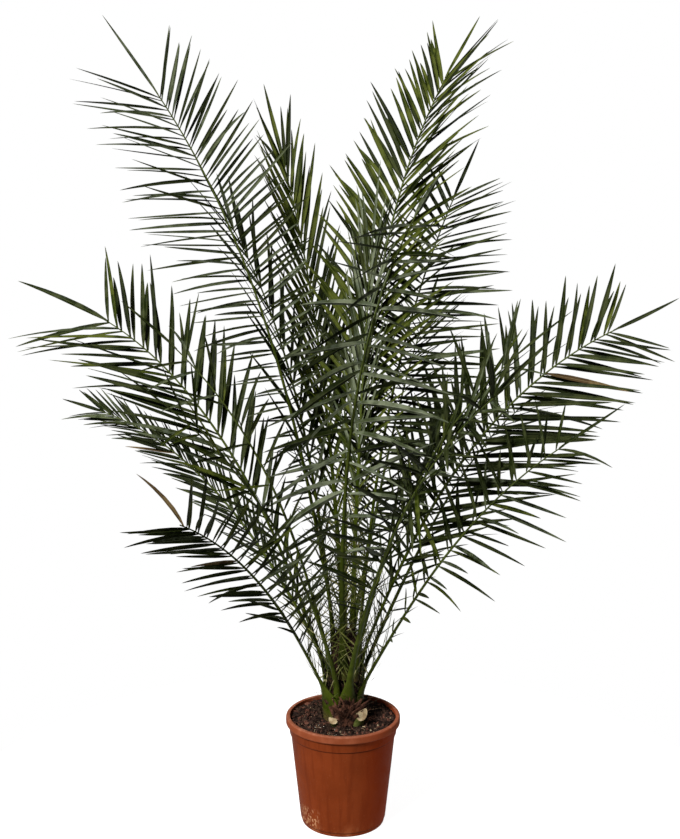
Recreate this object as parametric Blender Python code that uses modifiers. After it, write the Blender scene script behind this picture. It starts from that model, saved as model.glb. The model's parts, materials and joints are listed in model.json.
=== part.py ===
"""Canary island date palm, a young plant in a round nursery pot.

The palm is a short fibrous trunk with a crown of feather fronds. Every frond is one solid: a
rib that follows an arc out of the trunk, with pointed leaflets fused along both its sides.
The trunk stands on the soil in a thin-walled plastic pot, and the cut ends of three old
fronds are left at its foot.

Units are metres, +Z is up, and the origin is at the middle of the pot's flat underside.
"""

import math
import random
from collections import namedtuple

import bmesh
import bpy
from mathutils import Vector
from mathutils.bvhtree import BVHTree

# --- driving sizes ---------------------------------------------------------------------------

GAP = 0.0003                    # air between two pieces that touch

POT_HEIGHT = 0.29
POT_RIM_RADIUS = 0.150          # outside of the rolled rim
POT_FOOT_RADIUS = 0.111         # outside of the underside
POT_WALL = 0.003
POT_TURN_STEPS = 40
RIM_DEPTH = 0.020               # height of the rolled rim
RIM_OVERHANG = 0.008            # how far the rim stands out from the wall
RIM_ROUND = 0.006               # the roll's rounding at its top
RIM_LIP = 0.002                 # and at its lower edge
BAND_DEPTH = 0.036              # height of the rim with the stepped band under it
BAND_STEP = 0.0025
FOOT_STEP_HEIGHT = 0.010
FOOT_STEP = 0.002
DRAIN_HOLES = 8
DRAIN_RADIUS = 0.006
DRAIN_CIRCLE = 0.080

SOIL_LEVEL = 0.268              # the flat patch that the trunk stands on
SOIL_BANK_LEVEL = 0.282         # and the soil pushed up between it and the pot wall
SOIL_BANK_RADIUS = 0.092        # where the bank's slope ends
SOIL_PATCH_RADIUS = 0.072

TRUNK_FOOT_RADIUS = 0.050       # with the flare, at the soil
TRUNK_NECK_RADIUS = 0.041       # just above the flare
TRUNK_TOP_RADIUS = 0.021
TRUNK_FLARE = 0.022             # height of the flare
TRUNK_HEIGHT = 0.250
TRUNK_LEAN = math.radians(2.0)  # towards +X
TRUNK_SIDES = 24

STALK_TURN = 0.14               # part of its length in which a frond bends out of the crown
TWIST_START = 0.08              # part of its length where its blade starts to roll over
TWIST_REACH = 0.50              # and the part in which it does so
RIB_RINGS = 12
RIB_OUTER_FOOT = 0.034          # across the broad foot of the lowest stalks
RIB_INNER_FOOT = 0.017          # and of the stalks at the top of the trunk
RIB_STALK_WIDTH = 0.015
RIB_TIP_WIDTH = 0.0045
RIB_BASE_THICKNESS = 0.012
RIB_STALK_THICKNESS = 0.011
RIB_TIP_THICKNESS = 0.0050

FIRST_LEAFLET = 0.22            # part of the rib's length below the first leaflet
LAST_LEAFLET = 0.985            # and below the last
LEAFLETS_PER_METRE = 16.5       # on each side of the rib
LEAFLET_LENGTH = 0.275          # length of a leaflet that is as broad as LEAFLET_WIDTH
LEAFLET_WIDTH = 0.022
LEAFLET_THICKNESS = 0.0042
LEAFLET_ROOT_WIDTH = 0.008      # or less, where the rib is too slim to hold that
LEAFLET_ROOT_SHARE = 0.75       # of the rib's width
LEAFLET_SHARED_ROOT = 0.015     # length in which leaflets of one frond may cross
LEAFLET_RAISES = (-8, 8)        # degrees that leaflets stand off from their frond's lift
LEAFLET_WANDER = 4              # degrees that each leaflet strays from its rule
PAIR_STAGGER = 0.22             # of the space between leaflets, from side to side
TIP_LEAFLET = 1.18              # length of the last leaflet, against its neighbours'
LEAFLET_WIDEST = 0.33           # part of its length from the foot to the widest place
CLEARANCE = 0.0009              # kept round a leaflet beside another one
CROWN_SEED = 7

# Where a leaflet is in the way of another, it is swung along the rib by the first value and
# cut to the second part of its length, and these are tried in turn.
NUDGES = ((0, 1.0), (0.14, 1.0), (-0.14, 1.0), (0.26, 0.9), (-0.2, 0.8), (0, 0.7), (0, 0.5))

# A frond's bearing is the side of the trunk that it grows from, in degrees from +X towards
# +Y. Its seat is a height on the trunk above the soil. The leans are degrees from upright at
# its foot, above the stalk's bend and at its tip. The sweep turns its heading, and the twist
# rolls its blade, in degrees from foot to tip. Its leaflets are lifted off the blade's plane
# and opened from the rib by so many degrees, low down and at the tip. The lopsided value is
# added on one side and taken off on the other. Long_low and long_tip are leaflet lengths in m.
Frond = namedtuple("Frond", "name bearing seat foot stem tip length sweep twist "
                   "lift open_low open_tip lopsided long_low long_tip")
FRONDS = [
    Frond("frond_left_low", 217, 0.024, 0, 27, 64, 0.77, 9, -107, 38, 54, 33, 14, 0.22, 0.20),
    Frond("frond_right_low", 334, 0.024, -2, 28, 54, 0.95, -4, 45, -2, 80, 54, -20, 0.25, 0.16),
    Frond("frond_front_right", 283, 0.030, 3, 27, 54, 1.15, 28, 30, 14, 64, 40, 0, 0.24, 0.18),
    Frond("frond_left_mid", 167, 0.045, 0, 19, 68, 1.25, -17, -40, -2, 39, 42, 1, 0.26, 0.25),
    Frond("frond_back_left_low", 126, 0.024, 5, 44, 79, 1.22, 25, -60, 14, 24, 20, 0, 0.18, 0.14),
    Frond("frond_back_right_low", 42, 0.026, 5, 34, 72, 1.05, 8, 15, 14, 62, 40, 0, 0.20, 0.16),
    Frond("frond_back_low", 88, 0.065, 4, 31, 68, 1.10, 4, 0, 14, 62, 40, 0, 0.20, 0.16),
    Frond("frond_right_mid", 5, 0.080, -2, 21, 65, 1.20, -8, 61, -4, 50, 45, 0, 0.34, 0.17),
    Frond("frond_front_arching", 262, 0.132, 3, 14, 41, 1.30, 44, 20, 14, 60, 36, 0, 0.25, 0.20),
    Frond("frond_left_inner", 198, 0.120, 3, 14, 46, 0.98, -14, -45, 14, 58, 40, 0, 0.19, 0.15),
    Frond("frond_front_left", 248, 0.055, 4, 25, 50, 1.00, -40, -40, 14, 58, 40, 0, 0.18, 0.15),
    Frond("frond_right_inner", 315, 0.125, 4, 16, 48, 0.98, 34, 40, 14, 58, 40, 0, 0.20, 0.16),
    Frond("frond_back_right", 66, 0.140, 4, 28, 51, 1.09, 3, 0, 14, 58, 38, 0, 0.22, 0.18),
    Frond("frond_back_left", 134, 0.140, 4, 8, 33, 1.22, 21, -20, 14, 38, 24, 0, 0.23, 0.19),
    Frond("frond_right_back", 8, 0.170, 2, 5, 32, 1.25, 34, 24, -9, 81, 41, 1, 0.27, 0.16),
    Frond("frond_left_tall", 166, 0.195, 2, 10, 36, 1.53, -1, -45, 6, 77, 44, -4, 0.27, 0.205),
    Frond("frond_back_upright", 106, 0.215, 2, 12, 27, 1.31, 18, -10, 14, 46, 28, 0, 0.24, 0.19),
    Frond("frond_right_tall", 52, 0.235, 1, 2, 39, 1.53, -8, 8, 13, 59, 45, 9, 0.26, 0.20),
]

# A stub's bearing and seat are as a frond's, and its lean is in degrees from upright.
STUB_THICKNESS = 0.45           # against its width
Stub = namedtuple("Stub", "name bearing seat lean length width")
STUBS = [
    Stub("cut_stub_front_right", 304, 0.010, 30, 0.046, 0.030),
    Stub("cut_stub_front_left", 250, 0.0135, 48, 0.036, 0.032),
    Stub("cut_stub_back", 66, 0.011, 36, 0.040, 0.030),
]

# --- helpers ---------------------------------------------------------------------------------


def clear_scene():
    for thing in list(bpy.data.objects):
        bpy.data.objects.remove(thing, do_unlink=True)


def new_collection(name):
    collection = bpy.data.collections.new(name)
    bpy.context.scene.collection.children.link(collection)
    return collection


def new_material(name, colour, roughness):
    material = bpy.data.materials.new(name)
    material.use_nodes = True
    material.diffuse_color = (*colour, 1.0)
    shader = material.node_tree.nodes["Principled BSDF"]
    shader.inputs["Base Color"].default_value = (*colour, 1.0)
    shader.inputs["Roughness"].default_value = roughness
    shader.inputs["Metallic"].default_value = 0.0
    return material


def new_object(name, mesh, collection, material=None):
    obj = bpy.data.objects.new(name, mesh)
    collection.objects.link(obj)
    if material:
        mesh.materials.append(material)
    return obj


def smooth_step(x):
    x = min(max(x, 0.0), 1.0)
    return x * x * (3 - 2 * x)


def mix(a, b, share):
    return a + (b - a) * share


def turned_towards(start, goal, degrees):
    """A unit vector turned by an angle from one direction towards another at right angles."""
    turn = math.radians(degrees)
    return start * math.cos(turn) + goal * math.sin(turn)


def loft(name, rings, tip=None):
    """A closed mesh through rings of points, ending in a flat cap or in one tip point."""
    shape = bmesh.new()
    loops = [[shape.verts.new(point) for point in ring] for ring in rings]
    sides = len(loops[0])
    for low, high in zip(loops, loops[1:]):
        for k in range(sides):
            after = (k + 1) % sides
            shape.faces.new((low[k], low[after], high[after], high[k]))
    shape.faces.new(reversed(loops[0]))
    if tip is None:
        shape.faces.new(loops[-1])
    else:
        point = shape.verts.new(tip)
        for k in range(sides):
            shape.faces.new((loops[-1][k], loops[-1][(k + 1) % sides], point))
    bmesh.ops.recalc_face_normals(shape, faces=shape.faces)
    mesh = bpy.data.meshes.new(name)
    shape.to_mesh(mesh)
    shape.free()
    return mesh


def turned(name, profile, steps, collection, material):
    """A solid turned about Z from a closed profile of (radius, height) points."""
    mesh = bpy.data.meshes.new(name)
    points = [(radius, 0.0, height) for radius, height in profile]
    edges = [(k, k + 1) for k in range(len(points) - 1)]
    mesh.from_pydata(points, edges, [])
    obj = new_object(name, mesh, collection, material)
    screw = obj.modifiers.new("turn", "SCREW")
    screw.axis = "Z"
    screw.steps = steps
    screw.render_steps = steps
    screw.use_merge_vertices = True
    screw.merge_threshold = 0.00005
    screw.use_normal_calculate = True
    return obj


# --- pot and soil ----------------------------------------------------------------------------


def wall_radius(height):
    """Outside of the pot's plain tapered wall."""
    top = POT_RIM_RADIUS - RIM_OVERHANG
    return mix(POT_FOOT_RADIUS, top, height / POT_HEIGHT)


def make_pot(parts, cutters):
    """A thin tapered wall with a rolled rim, a stepped band under it and a stepped foot."""
    band = POT_HEIGHT - BAND_DEPTH
    lip = POT_HEIGHT - RIM_DEPTH
    foot_radius = POT_FOOT_RADIUS - FOOT_STEP
    inner_top = wall_radius(POT_HEIGHT) - POT_WALL
    profile = [
        (POT_RIM_RADIUS - RIM_ROUND, POT_HEIGHT),
        (POT_RIM_RADIUS - 0.3 * RIM_ROUND, POT_HEIGHT - 0.3 * RIM_ROUND),
        (POT_RIM_RADIUS, POT_HEIGHT - RIM_ROUND),
        (POT_RIM_RADIUS, lip + RIM_LIP),
        (POT_RIM_RADIUS - RIM_LIP, lip),
        (wall_radius(lip) + BAND_STEP, lip),
        (wall_radius(band) + BAND_STEP, band + 0.5 * BAND_STEP),
        (wall_radius(band), band),
        (wall_radius(FOOT_STEP_HEIGHT + FOOT_STEP), FOOT_STEP_HEIGHT + FOOT_STEP),
        (wall_radius(FOOT_STEP_HEIGHT) - FOOT_STEP, FOOT_STEP_HEIGHT),
        (foot_radius, 0.0),
        (0.0, 0.0),
        (0.0, POT_WALL),
        (wall_radius(POT_WALL) - FOOT_STEP - POT_WALL, POT_WALL),
        (inner_top, POT_HEIGHT - RIM_LIP),
        (inner_top + RIM_LIP, POT_HEIGHT),
        (POT_RIM_RADIUS - RIM_ROUND, POT_HEIGHT),
    ]
    clay = new_material("terracotta_plastic", (0.36, 0.115, 0.055), 0.45)
    pot = turned("pot", profile, POT_TURN_STEPS, parts, clay)
    for k in range(DRAIN_HOLES):
        turn = 2 * math.pi * (k + 0.5) / DRAIN_HOLES
        place = (DRAIN_CIRCLE * math.cos(turn), DRAIN_CIRCLE * math.sin(turn), POT_WALL / 2)
        bpy.ops.mesh.primitive_cylinder_add(
            vertices=8, radius=DRAIN_RADIUS, depth=4 * POT_WALL, location=place
        )
        drill = bpy.context.object
        drill.name = f"drain_drill_{k + 1}"
        drill.hide_render = True
        drill.display_type = "WIRE"
        for home in list(drill.users_collection):
            home.objects.unlink(drill)
        cutters.objects.link(drill)
    cut = pot.modifiers.new("drain_holes", "BOOLEAN")
    cut.operation = "DIFFERENCE"
    cut.operand_type = "COLLECTION"
    cut.collection = cutters
    return pot


def make_soil(parts):
    """The filling of the pot: a level patch where the trunk stands, and a bank round it."""
    earth = new_material("potting_soil", (0.045, 0.028, 0.019), 0.95)
    floor = POT_WALL + GAP
    inset = FOOT_STEP + POT_WALL + 2 * GAP
    profile = [
        (0.0, SOIL_LEVEL),
        (SOIL_PATCH_RADIUS, SOIL_LEVEL),
        (SOIL_BANK_RADIUS, SOIL_BANK_LEVEL),
        (wall_radius(SOIL_BANK_LEVEL) - inset, SOIL_BANK_LEVEL),
        (wall_radius(floor) - inset, floor),
        (0.0, floor),
    ]
    soil = turned("soil", profile, POT_TURN_STEPS, parts, earth)
    soil.modifiers["turn"].use_normal_flip = True
    return soil


# --- trunk and cut stubs ---------------------------------------------------------------------


def trunk_centre(height):
    """Middle of the trunk at a height above the soil."""
    return Vector((height * math.tan(TRUNK_LEAN), 0.0, SOIL_LEVEL + GAP + height))


def trunk_radius(height):
    """A cone above the flare, and a steeper one down to the soil."""
    if height < TRUNK_FLARE:
        return mix(TRUNK_FOOT_RADIUS, TRUNK_NECK_RADIUS, height / TRUNK_FLARE)
    share = (height - TRUNK_FLARE) / (TRUNK_HEIGHT - TRUNK_FLARE)
    return mix(TRUNK_NECK_RADIUS, TRUNK_TOP_RADIUS, share)


def make_trunk(parts):
    fibre = new_material("trunk_fibre", (0.105, 0.060, 0.035), 0.9)
    rings = []
    for height in (0.0, TRUNK_FLARE, TRUNK_HEIGHT):
        centre = trunk_centre(height)
        radius = trunk_radius(height)
        ring = []
        for j in range(TRUNK_SIDES):
            turn = 2 * math.pi * j / TRUNK_SIDES
            ring.append(centre + radius * Vector((math.cos(turn), math.sin(turn), 0.0)))
        rings.append(ring)
    tip = trunk_centre(TRUNK_HEIGHT + 0.5 * TRUNK_TOP_RADIUS)
    return new_object("trunk", loft("trunk", rings, tip), parts, fibre)


def make_stub(stub, parts, material):
    """The foot of an old frond, cut off square a hand's width from the trunk."""
    out, across, up = seat_axes(stub.bearing)
    along = turned_towards(up, out, stub.lean)
    face = across.cross(along)
    thickness = STUB_THICKNESS * stub.width
    start = seat_point(stub.bearing, stub.seat, 0.0) - face * thickness / 2
    rings = []
    for share, scale in ((0.0, 1.0), (0.6, 0.78), (1.0, 0.62)):
        centre = start + along * stub.length * share
        rings.append(section(centre, across, face, stub.width * scale, thickness * scale))
    return new_object(stub.name, loft(stub.name, rings), parts, material)


# --- fronds ----------------------------------------------------------------------------------


def seat_axes(bearing):
    turn = math.radians(bearing)
    out = Vector((math.cos(turn), math.sin(turn), 0.0))
    across = Vector((math.sin(turn), -math.cos(turn), 0.0))
    return out, across, Vector((0.0, 0.0, 1.0))


def seat_point(bearing, height, half_thickness):
    """A stalk's middle where its inner face lies GAP off the trunk."""
    out = seat_axes(bearing)[0]
    return trunk_centre(height) + out * (trunk_radius(height) + GAP + half_thickness)


def section(centre, across, face, width, thickness):
    """A stalk's section: four-sided, and broader across its back than towards the crown."""
    half = width / 2
    shape = ((-0.8, 0.5), (0.8, 0.5), (1.0, -0.5), (-1.0, -0.5))
    return [centre + across * half * x + face * thickness * y for x, y in shape]


def frond_frame(frond, t):
    """Heading, blade normal and sideways direction at a part t of the frond's length."""
    bend = smooth_step(t / STALK_TURN)
    lean = mix(frond.foot, frond.stem, bend) + (frond.tip - frond.stem) * t * t
    out, across, up = seat_axes(frond.bearing + frond.sweep * t)
    roll = frond.twist * smooth_step((t - TWIST_START) / TWIST_REACH)
    along = turned_towards(up, out, lean)
    flat = turned_towards(-out, up, lean)
    normal = turned_towards(flat, across, roll)
    return along, normal, along.cross(normal)


def frond_path(frond, steps=120):
    """Points along the middle of the rib, at equal parts of its length."""
    points = [seat_point(frond.bearing, frond.seat, RIB_BASE_THICKNESS / 2)]
    for k in range(steps):
        along = frond_frame(frond, (k + 0.5) / steps)[0]
        points.append(points[-1] + along * frond.length / steps)
    return points


def at_part(points, t):
    place = min(max(t, 0.0), 1.0) * (len(points) - 1)
    k = min(int(place), len(points) - 2)
    return points[k].lerp(points[k + 1], place - k)


def rib_size(frond, t):
    """Width and thickness of the rib, which narrows from a broad foot to a fine tip."""
    broad = mix(RIB_OUTER_FOOT, RIB_INNER_FOOT, frond.seat / TRUNK_HEIGHT)
    foot = 1 - smooth_step(t / 0.10)
    width = mix(RIB_STALK_WIDTH, RIB_TIP_WIDTH, t ** 0.8)
    thickness = mix(RIB_STALK_THICKNESS, RIB_TIP_THICKNESS, t ** 0.8)
    return (
        mix(width, broad, foot),
        mix(thickness, RIB_BASE_THICKNESS, foot),
    )


def make_rib(frond, points):
    rings = []
    for k in range(RIB_RINGS):
        t = (k / (RIB_RINGS - 1)) ** 1.25
        _, normal, across = frond_frame(frond, t)
        width, thickness = rib_size(frond, t)
        rings.append(section(at_part(points, t), across, normal, width, thickness))
    return loft(frond.name + "_rib", rings)


def leaflet_length(frond, s):
    """Leaflets are short spines at the stalk, soon at their longest, and shorter at the tip."""
    return mix(0.28, 1.0, smooth_step(s / 0.32)) * mix(frond.long_low, frond.long_tip, s * s)


def leaflet_angle(frond, s, side):
    """Degrees between a leaflet and the rib, which close up towards the frond's tip."""
    opened = mix(frond.open_low, frond.open_tip, s ** 3.5) + side * frond.lopsided
    return min(opened, 86)


def make_leaflet(root, along, blade, length, root_width, spare=0.0):
    """One leaflet: flat above and keeled below, widest a third of the way to its point."""
    across = along.cross(blade).normalized()
    up = across.cross(along)
    width = LEAFLET_WIDTH * mix(0.6, 1.0, min(1.0, length / LEAFLET_LENGTH))
    rings = []
    for share, wide, deep in (
        (0.0, root_width, LEAFLET_THICKNESS * 0.5),
        (LEAFLET_WIDEST, width, LEAFLET_THICKNESS),
    ):
        centre = root + along * length * share
        half = wide / 2 + spare
        rings.append(
            [
                centre - across * half + up * (deep / 3 + spare),
                centre + across * half + up * (deep / 3 + spare),
                centre - up * (2 * deep / 3 + spare),
            ]
        )
    return loft("leaflet", rings, root + along * (length + spare))


def leaflet_places(frond, chance):
    """Place on the rib, direction, blade normal and length of each leaflet, foot to tip."""
    count = round(LEAFLETS_PER_METRE * frond.length * (1 - FIRST_LEAFLET))
    for k in range(count):
        s = (k + 0.5) / count
        for side in (-1, 1):
            here = s + side * PAIR_STAGGER / count
            t = mix(FIRST_LEAFLET, LAST_LEAFLET, here)
            heading, normal, across = frond_frame(frond, t)
            raised = frond.lift + chance.choice(LEAFLET_RAISES) + chance.uniform(-LEAFLET_WANDER, LEAFLET_WANDER)
            opened = leaflet_angle(frond, s, side) + chance.uniform(-LEAFLET_WANDER, LEAFLET_WANDER)
            length = leaflet_length(frond, s) * chance.uniform(0.97, 1.09)
            outward = turned_towards(across * side, normal, raised)
            along = turned_towards(heading, outward, opened)
            yield t, along, normal, length, heading
    heading, normal, _ = frond_frame(frond, 1.0)
    yield LAST_LEAFLET, heading, normal, leaflet_length(frond, 1.0) * TIP_LEAFLET, heading


def tree_of(mesh):
    """The faces of a mesh, sorted so that crossings are quickly found."""
    corners = [vertex.co.copy() for vertex in mesh.vertices]
    return BVHTree.FromPolygons(corners, [tuple(face.vertices) for face in mesh.polygons])


def is_free(mesh, others):
    tree = tree_of(mesh)
    return not any(tree.overlap(other) for other in others)


def grow_leaflets(frond, points, others, chance):
    """Leaflets clear of their neighbours: nudged if need be, then shortened, then left out."""
    grown = []
    beside = []
    for t, along, normal, length, heading in leaflet_places(frond, chance):
        root = at_part(points, t)
        root_width = min(LEAFLET_ROOT_WIDTH, rib_size(frond, t)[0] * LEAFLET_ROOT_SHARE)
        for swing, cut in NUDGES:
            toward = (along + heading * swing).normalized()
            whole = make_leaflet(root, toward, normal, length * cut, root_width, CLEARANCE)
            free_root = root + toward * LEAFLET_SHARED_ROOT
            free_length = length * cut - LEAFLET_SHARED_ROOT
            outer = make_leaflet(free_root, toward, normal, free_length, root_width, CLEARANCE)
            if is_free(whole, others) and is_free(outer, beside):
                grown.append(make_leaflet(root, toward, normal, length * cut, root_width))
                beside.append(tree_of(outer))
                break
    return grown


def drop_scraps(mesh):
    """Keeps the largest of the bodies in a mesh, and so fills a hollow that fusing sealed."""
    shape = bmesh.new()
    shape.from_mesh(mesh)
    bmesh.ops.triangulate(shape, faces=shape.faces)
    unseen = set(shape.faces)
    bodies = []
    while unseen:
        body = [unseen.pop()]
        for face in body:
            for edge in face.edges:
                if len(edge.link_faces) > 2:
                    continue
                for other in edge.link_faces:
                    if other in unseen:
                        unseen.remove(other)
                        body.append(other)
        bodies.append(body)
    bodies.sort(key=len)
    for scrap in bodies[:-1]:
        bmesh.ops.delete(shape, geom=scrap, context="FACES")
    shape.to_mesh(mesh)
    shape.free()


def fuse(name, rib, leaflets, parts, material):
    """The rib and its leaflets as one solid."""
    frond = new_object(name, rib, parts, material)
    blades = new_collection(name + "_leaflets")
    for k, leaflet in enumerate(leaflets):
        new_object(f"{name}_leaflet_{k}", leaflet, blades)
    join = frond.modifiers.new("leaflets", "BOOLEAN")
    join.operation = "UNION"
    join.operand_type = "COLLECTION"
    join.collection = blades
    join.solver = "MANIFOLD"
    solid = bpy.data.meshes.new_from_object(
        frond.evaluated_get(bpy.context.evaluated_depsgraph_get())
    )
    drop_scraps(solid)
    frond.modifiers.clear()
    frond.data = solid
    solid.name = name
    for blade in list(blades.objects):
        bpy.data.objects.remove(blade, do_unlink=True)
    bpy.data.collections.remove(blades)
    return frond


def make_crown(parts):
    green = new_material("frond_green", (0.075, 0.125, 0.045), 0.55)
    paths = {frond.name: frond_path(frond) for frond in FRONDS}
    ribs = {frond.name: make_rib(frond, paths[frond.name]) for frond in FRONDS}
    trees = {name: [tree_of(rib)] for name, rib in ribs.items()}
    trees["trunk"] = [tree_of(bpy.data.objects["trunk"].data)]
    chance = random.Random(CROWN_SEED)
    for frond in FRONDS:
        others = [tree for name in trees if name != frond.name for tree in trees[name]]
        leaflets = grow_leaflets(frond, paths[frond.name], others, chance)
        trees[frond.name] += [tree_of(leaflet) for leaflet in leaflets]
        fuse(frond.name, ribs[frond.name], leaflets, parts, green)


# --- the plant -------------------------------------------------------------------------------

clear_scene()
parts = new_collection("canary_island_date_palm")
cutters = new_collection("cutters")
make_pot(parts, cutters)
make_soil(parts)
make_trunk(parts)
cut_green = new_material("cut_stalk", (0.20, 0.17, 0.07), 0.8)
for stub in STUBS:
    make_stub(stub, parts, cut_green)
make_crown(parts)
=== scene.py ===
"""Canary island date palm in a round nursery pot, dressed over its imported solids.

The script follows the plant as it is potted and grows: the pot, the soil and what lies on
it, the trunk, the stubs of cut fronds, then the fronds' stalks, spines and leaflets. Units
are metres, +Z is up, and the origin is at the middle of the pot's underside.
"""

import json
import math
import random
from collections import namedtuple

import bmesh
import bpy
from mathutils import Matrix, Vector, noise

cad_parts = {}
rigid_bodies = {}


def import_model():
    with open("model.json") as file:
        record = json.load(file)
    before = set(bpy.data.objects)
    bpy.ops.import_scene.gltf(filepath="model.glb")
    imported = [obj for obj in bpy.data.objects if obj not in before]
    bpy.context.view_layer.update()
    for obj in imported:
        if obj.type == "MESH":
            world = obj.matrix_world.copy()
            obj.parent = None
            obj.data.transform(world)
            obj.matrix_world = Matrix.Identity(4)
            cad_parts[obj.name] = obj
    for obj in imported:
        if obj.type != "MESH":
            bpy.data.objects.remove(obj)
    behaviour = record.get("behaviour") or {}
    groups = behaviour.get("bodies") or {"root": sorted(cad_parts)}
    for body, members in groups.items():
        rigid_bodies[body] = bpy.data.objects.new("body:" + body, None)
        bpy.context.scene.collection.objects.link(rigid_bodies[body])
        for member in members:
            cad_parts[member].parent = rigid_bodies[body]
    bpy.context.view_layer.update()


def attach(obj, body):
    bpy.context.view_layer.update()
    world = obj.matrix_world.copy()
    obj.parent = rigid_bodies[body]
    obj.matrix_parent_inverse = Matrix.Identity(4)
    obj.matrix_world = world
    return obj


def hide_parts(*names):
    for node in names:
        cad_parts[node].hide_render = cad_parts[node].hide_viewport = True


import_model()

# --- Pot -------------------------------------------------------------------------------------
# A round nursery pot of about 15 litres, moulded in one piece from terracotta-coloured
# polypropylene. The rolled rim, the band under it and the stepped foot come out of the mould,
# and eight holes are pierced in its floor. Handling and soil leave streaks, dust and scuffs.

POT_HEIGHT = 0.29
POT_RIM_RADIUS = 0.150
POT_FOOT_RADIUS = 0.111
POT_WALL = 0.003
POT_STEPS = 160
RIM_DEPTH = 0.020
RIM_OVERHANG = 0.008
RIM_ROUND = 0.006
RIM_LIP = 0.002
STRAIGHT_INSIDE = 0.012         # how far down from the top the inside of the rim stands upright
BAND_DEPTH = 0.047
BAND_STEP = 0.0030
FOOT_STEP_HEIGHT = 0.010
FOOT_STEP = 0.002
DRAIN_HOLES = 8
DRAIN_RADIUS = 0.006
DRAIN_CIRCLE = 0.080


def mix(a, b, share):
    return a + (b - a) * share


def wall_radius(height):
    """Outside of the pot's plain tapered wall."""
    return mix(POT_FOOT_RADIUS, POT_RIM_RADIUS - RIM_OVERHANG, height / POT_HEIGHT)


def eased(corners, steps):
    """A profile of (radius, height) points whose corners are rounded off by their third value."""
    points = []
    last = len(corners) - 1
    for k, (radius, height, ease) in enumerate(corners):
        here = Vector((radius, height))
        if ease == 0 or k in (0, last):
            points.append(here)
            continue
        before = Vector(corners[k - 1][:2]) - here
        after = Vector(corners[k + 1][:2]) - here
        start = here + before.normalized() * min(ease, before.length * 0.49)
        end = here + after.normalized() * min(ease, after.length * 0.49)
        for j in range(steps + 1):
            share = j / steps
            points.append(start.lerp(here, share).lerp(here.lerp(end, share), share))
    return points


def put_in_scene(name, mesh):
    piece = bpy.data.objects.new(name, mesh)
    bpy.context.scene.collection.objects.link(piece)
    return piece


def mesh_of(shape, name):
    """The mesh of a finished shape, with all its faces turned outwards."""
    bmesh.ops.recalc_face_normals(shape, faces=shape.faces)
    mesh = bpy.data.meshes.new(name)
    shape.to_mesh(mesh)
    shape.free()
    return mesh


def turned_shell(name, profile, steps, height_at=None):
    """A closed shell turned about Z from a profile that starts and ends on the axis."""
    shape = bmesh.new()
    rings = []
    turns = [2 * math.pi * j / steps for j in range(steps)]
    for radius, height in profile:
        places = [(radius * math.cos(turn), radius * math.sin(turn)) for turn in turns]
        if radius < 1e-6:
            places = [(0.0, 0.0)]
        rings.append([
            shape.verts.new((x, y, height + (height_at(x, y, height) if height_at else 0.0)))
            for x, y in places
        ])
    for low, high in zip(rings, rings[1:]):
        for j in range(steps):
            after = (j + 1) % steps
            corners = {
                low[j % len(low)]: 0, low[after % len(low)]: 0,
                high[after % len(high)]: 0, high[j % len(high)]: 0,
            }
            if len(corners) > 2:
                shape.faces.new(list(corners))
    return mesh_of(shape, name)


class Signal:
    """A socket's output that takes part in sums as a number does."""

    def __init__(self, board, socket):
        self.board = board
        self.socket = socket

    def __add__(self, other):
        return self.board.sum("ADD", self, other)

    def __radd__(self, other):
        return self.board.sum("ADD", other, self)

    def __sub__(self, other):
        return self.board.sum("SUBTRACT", self, other)

    def __rsub__(self, other):
        return self.board.sum("SUBTRACT", other, self)

    def __mul__(self, other):
        return self.board.sum("MULTIPLY", self, other)

    def __rmul__(self, other):
        return self.board.sum("MULTIPLY", other, self)

    def __gt__(self, other):
        return self.board.sum("GREATER_THAN", self, other)


class Board:
    """A tree of nodes, and the one way in which nodes are added to it."""

    def __init__(self, tree):
        self.tree = tree

    def node(self, kind, settings=None, inputs=None, output=0):
        made = self.tree.nodes.new(kind)
        for name, value in (settings or {}).items():
            setattr(made, name, value)
        for name, value in (inputs or {}).items():
            if isinstance(value, Signal):
                self.tree.links.new(value.socket, made.inputs[name])
            else:
                made.inputs[name].default_value = value
        return Signal(self, made.outputs[output])

    def sum(self, operation, *values):
        return self.node("ShaderNodeMath", {"operation": operation}, dict(enumerate(values)))


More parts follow.
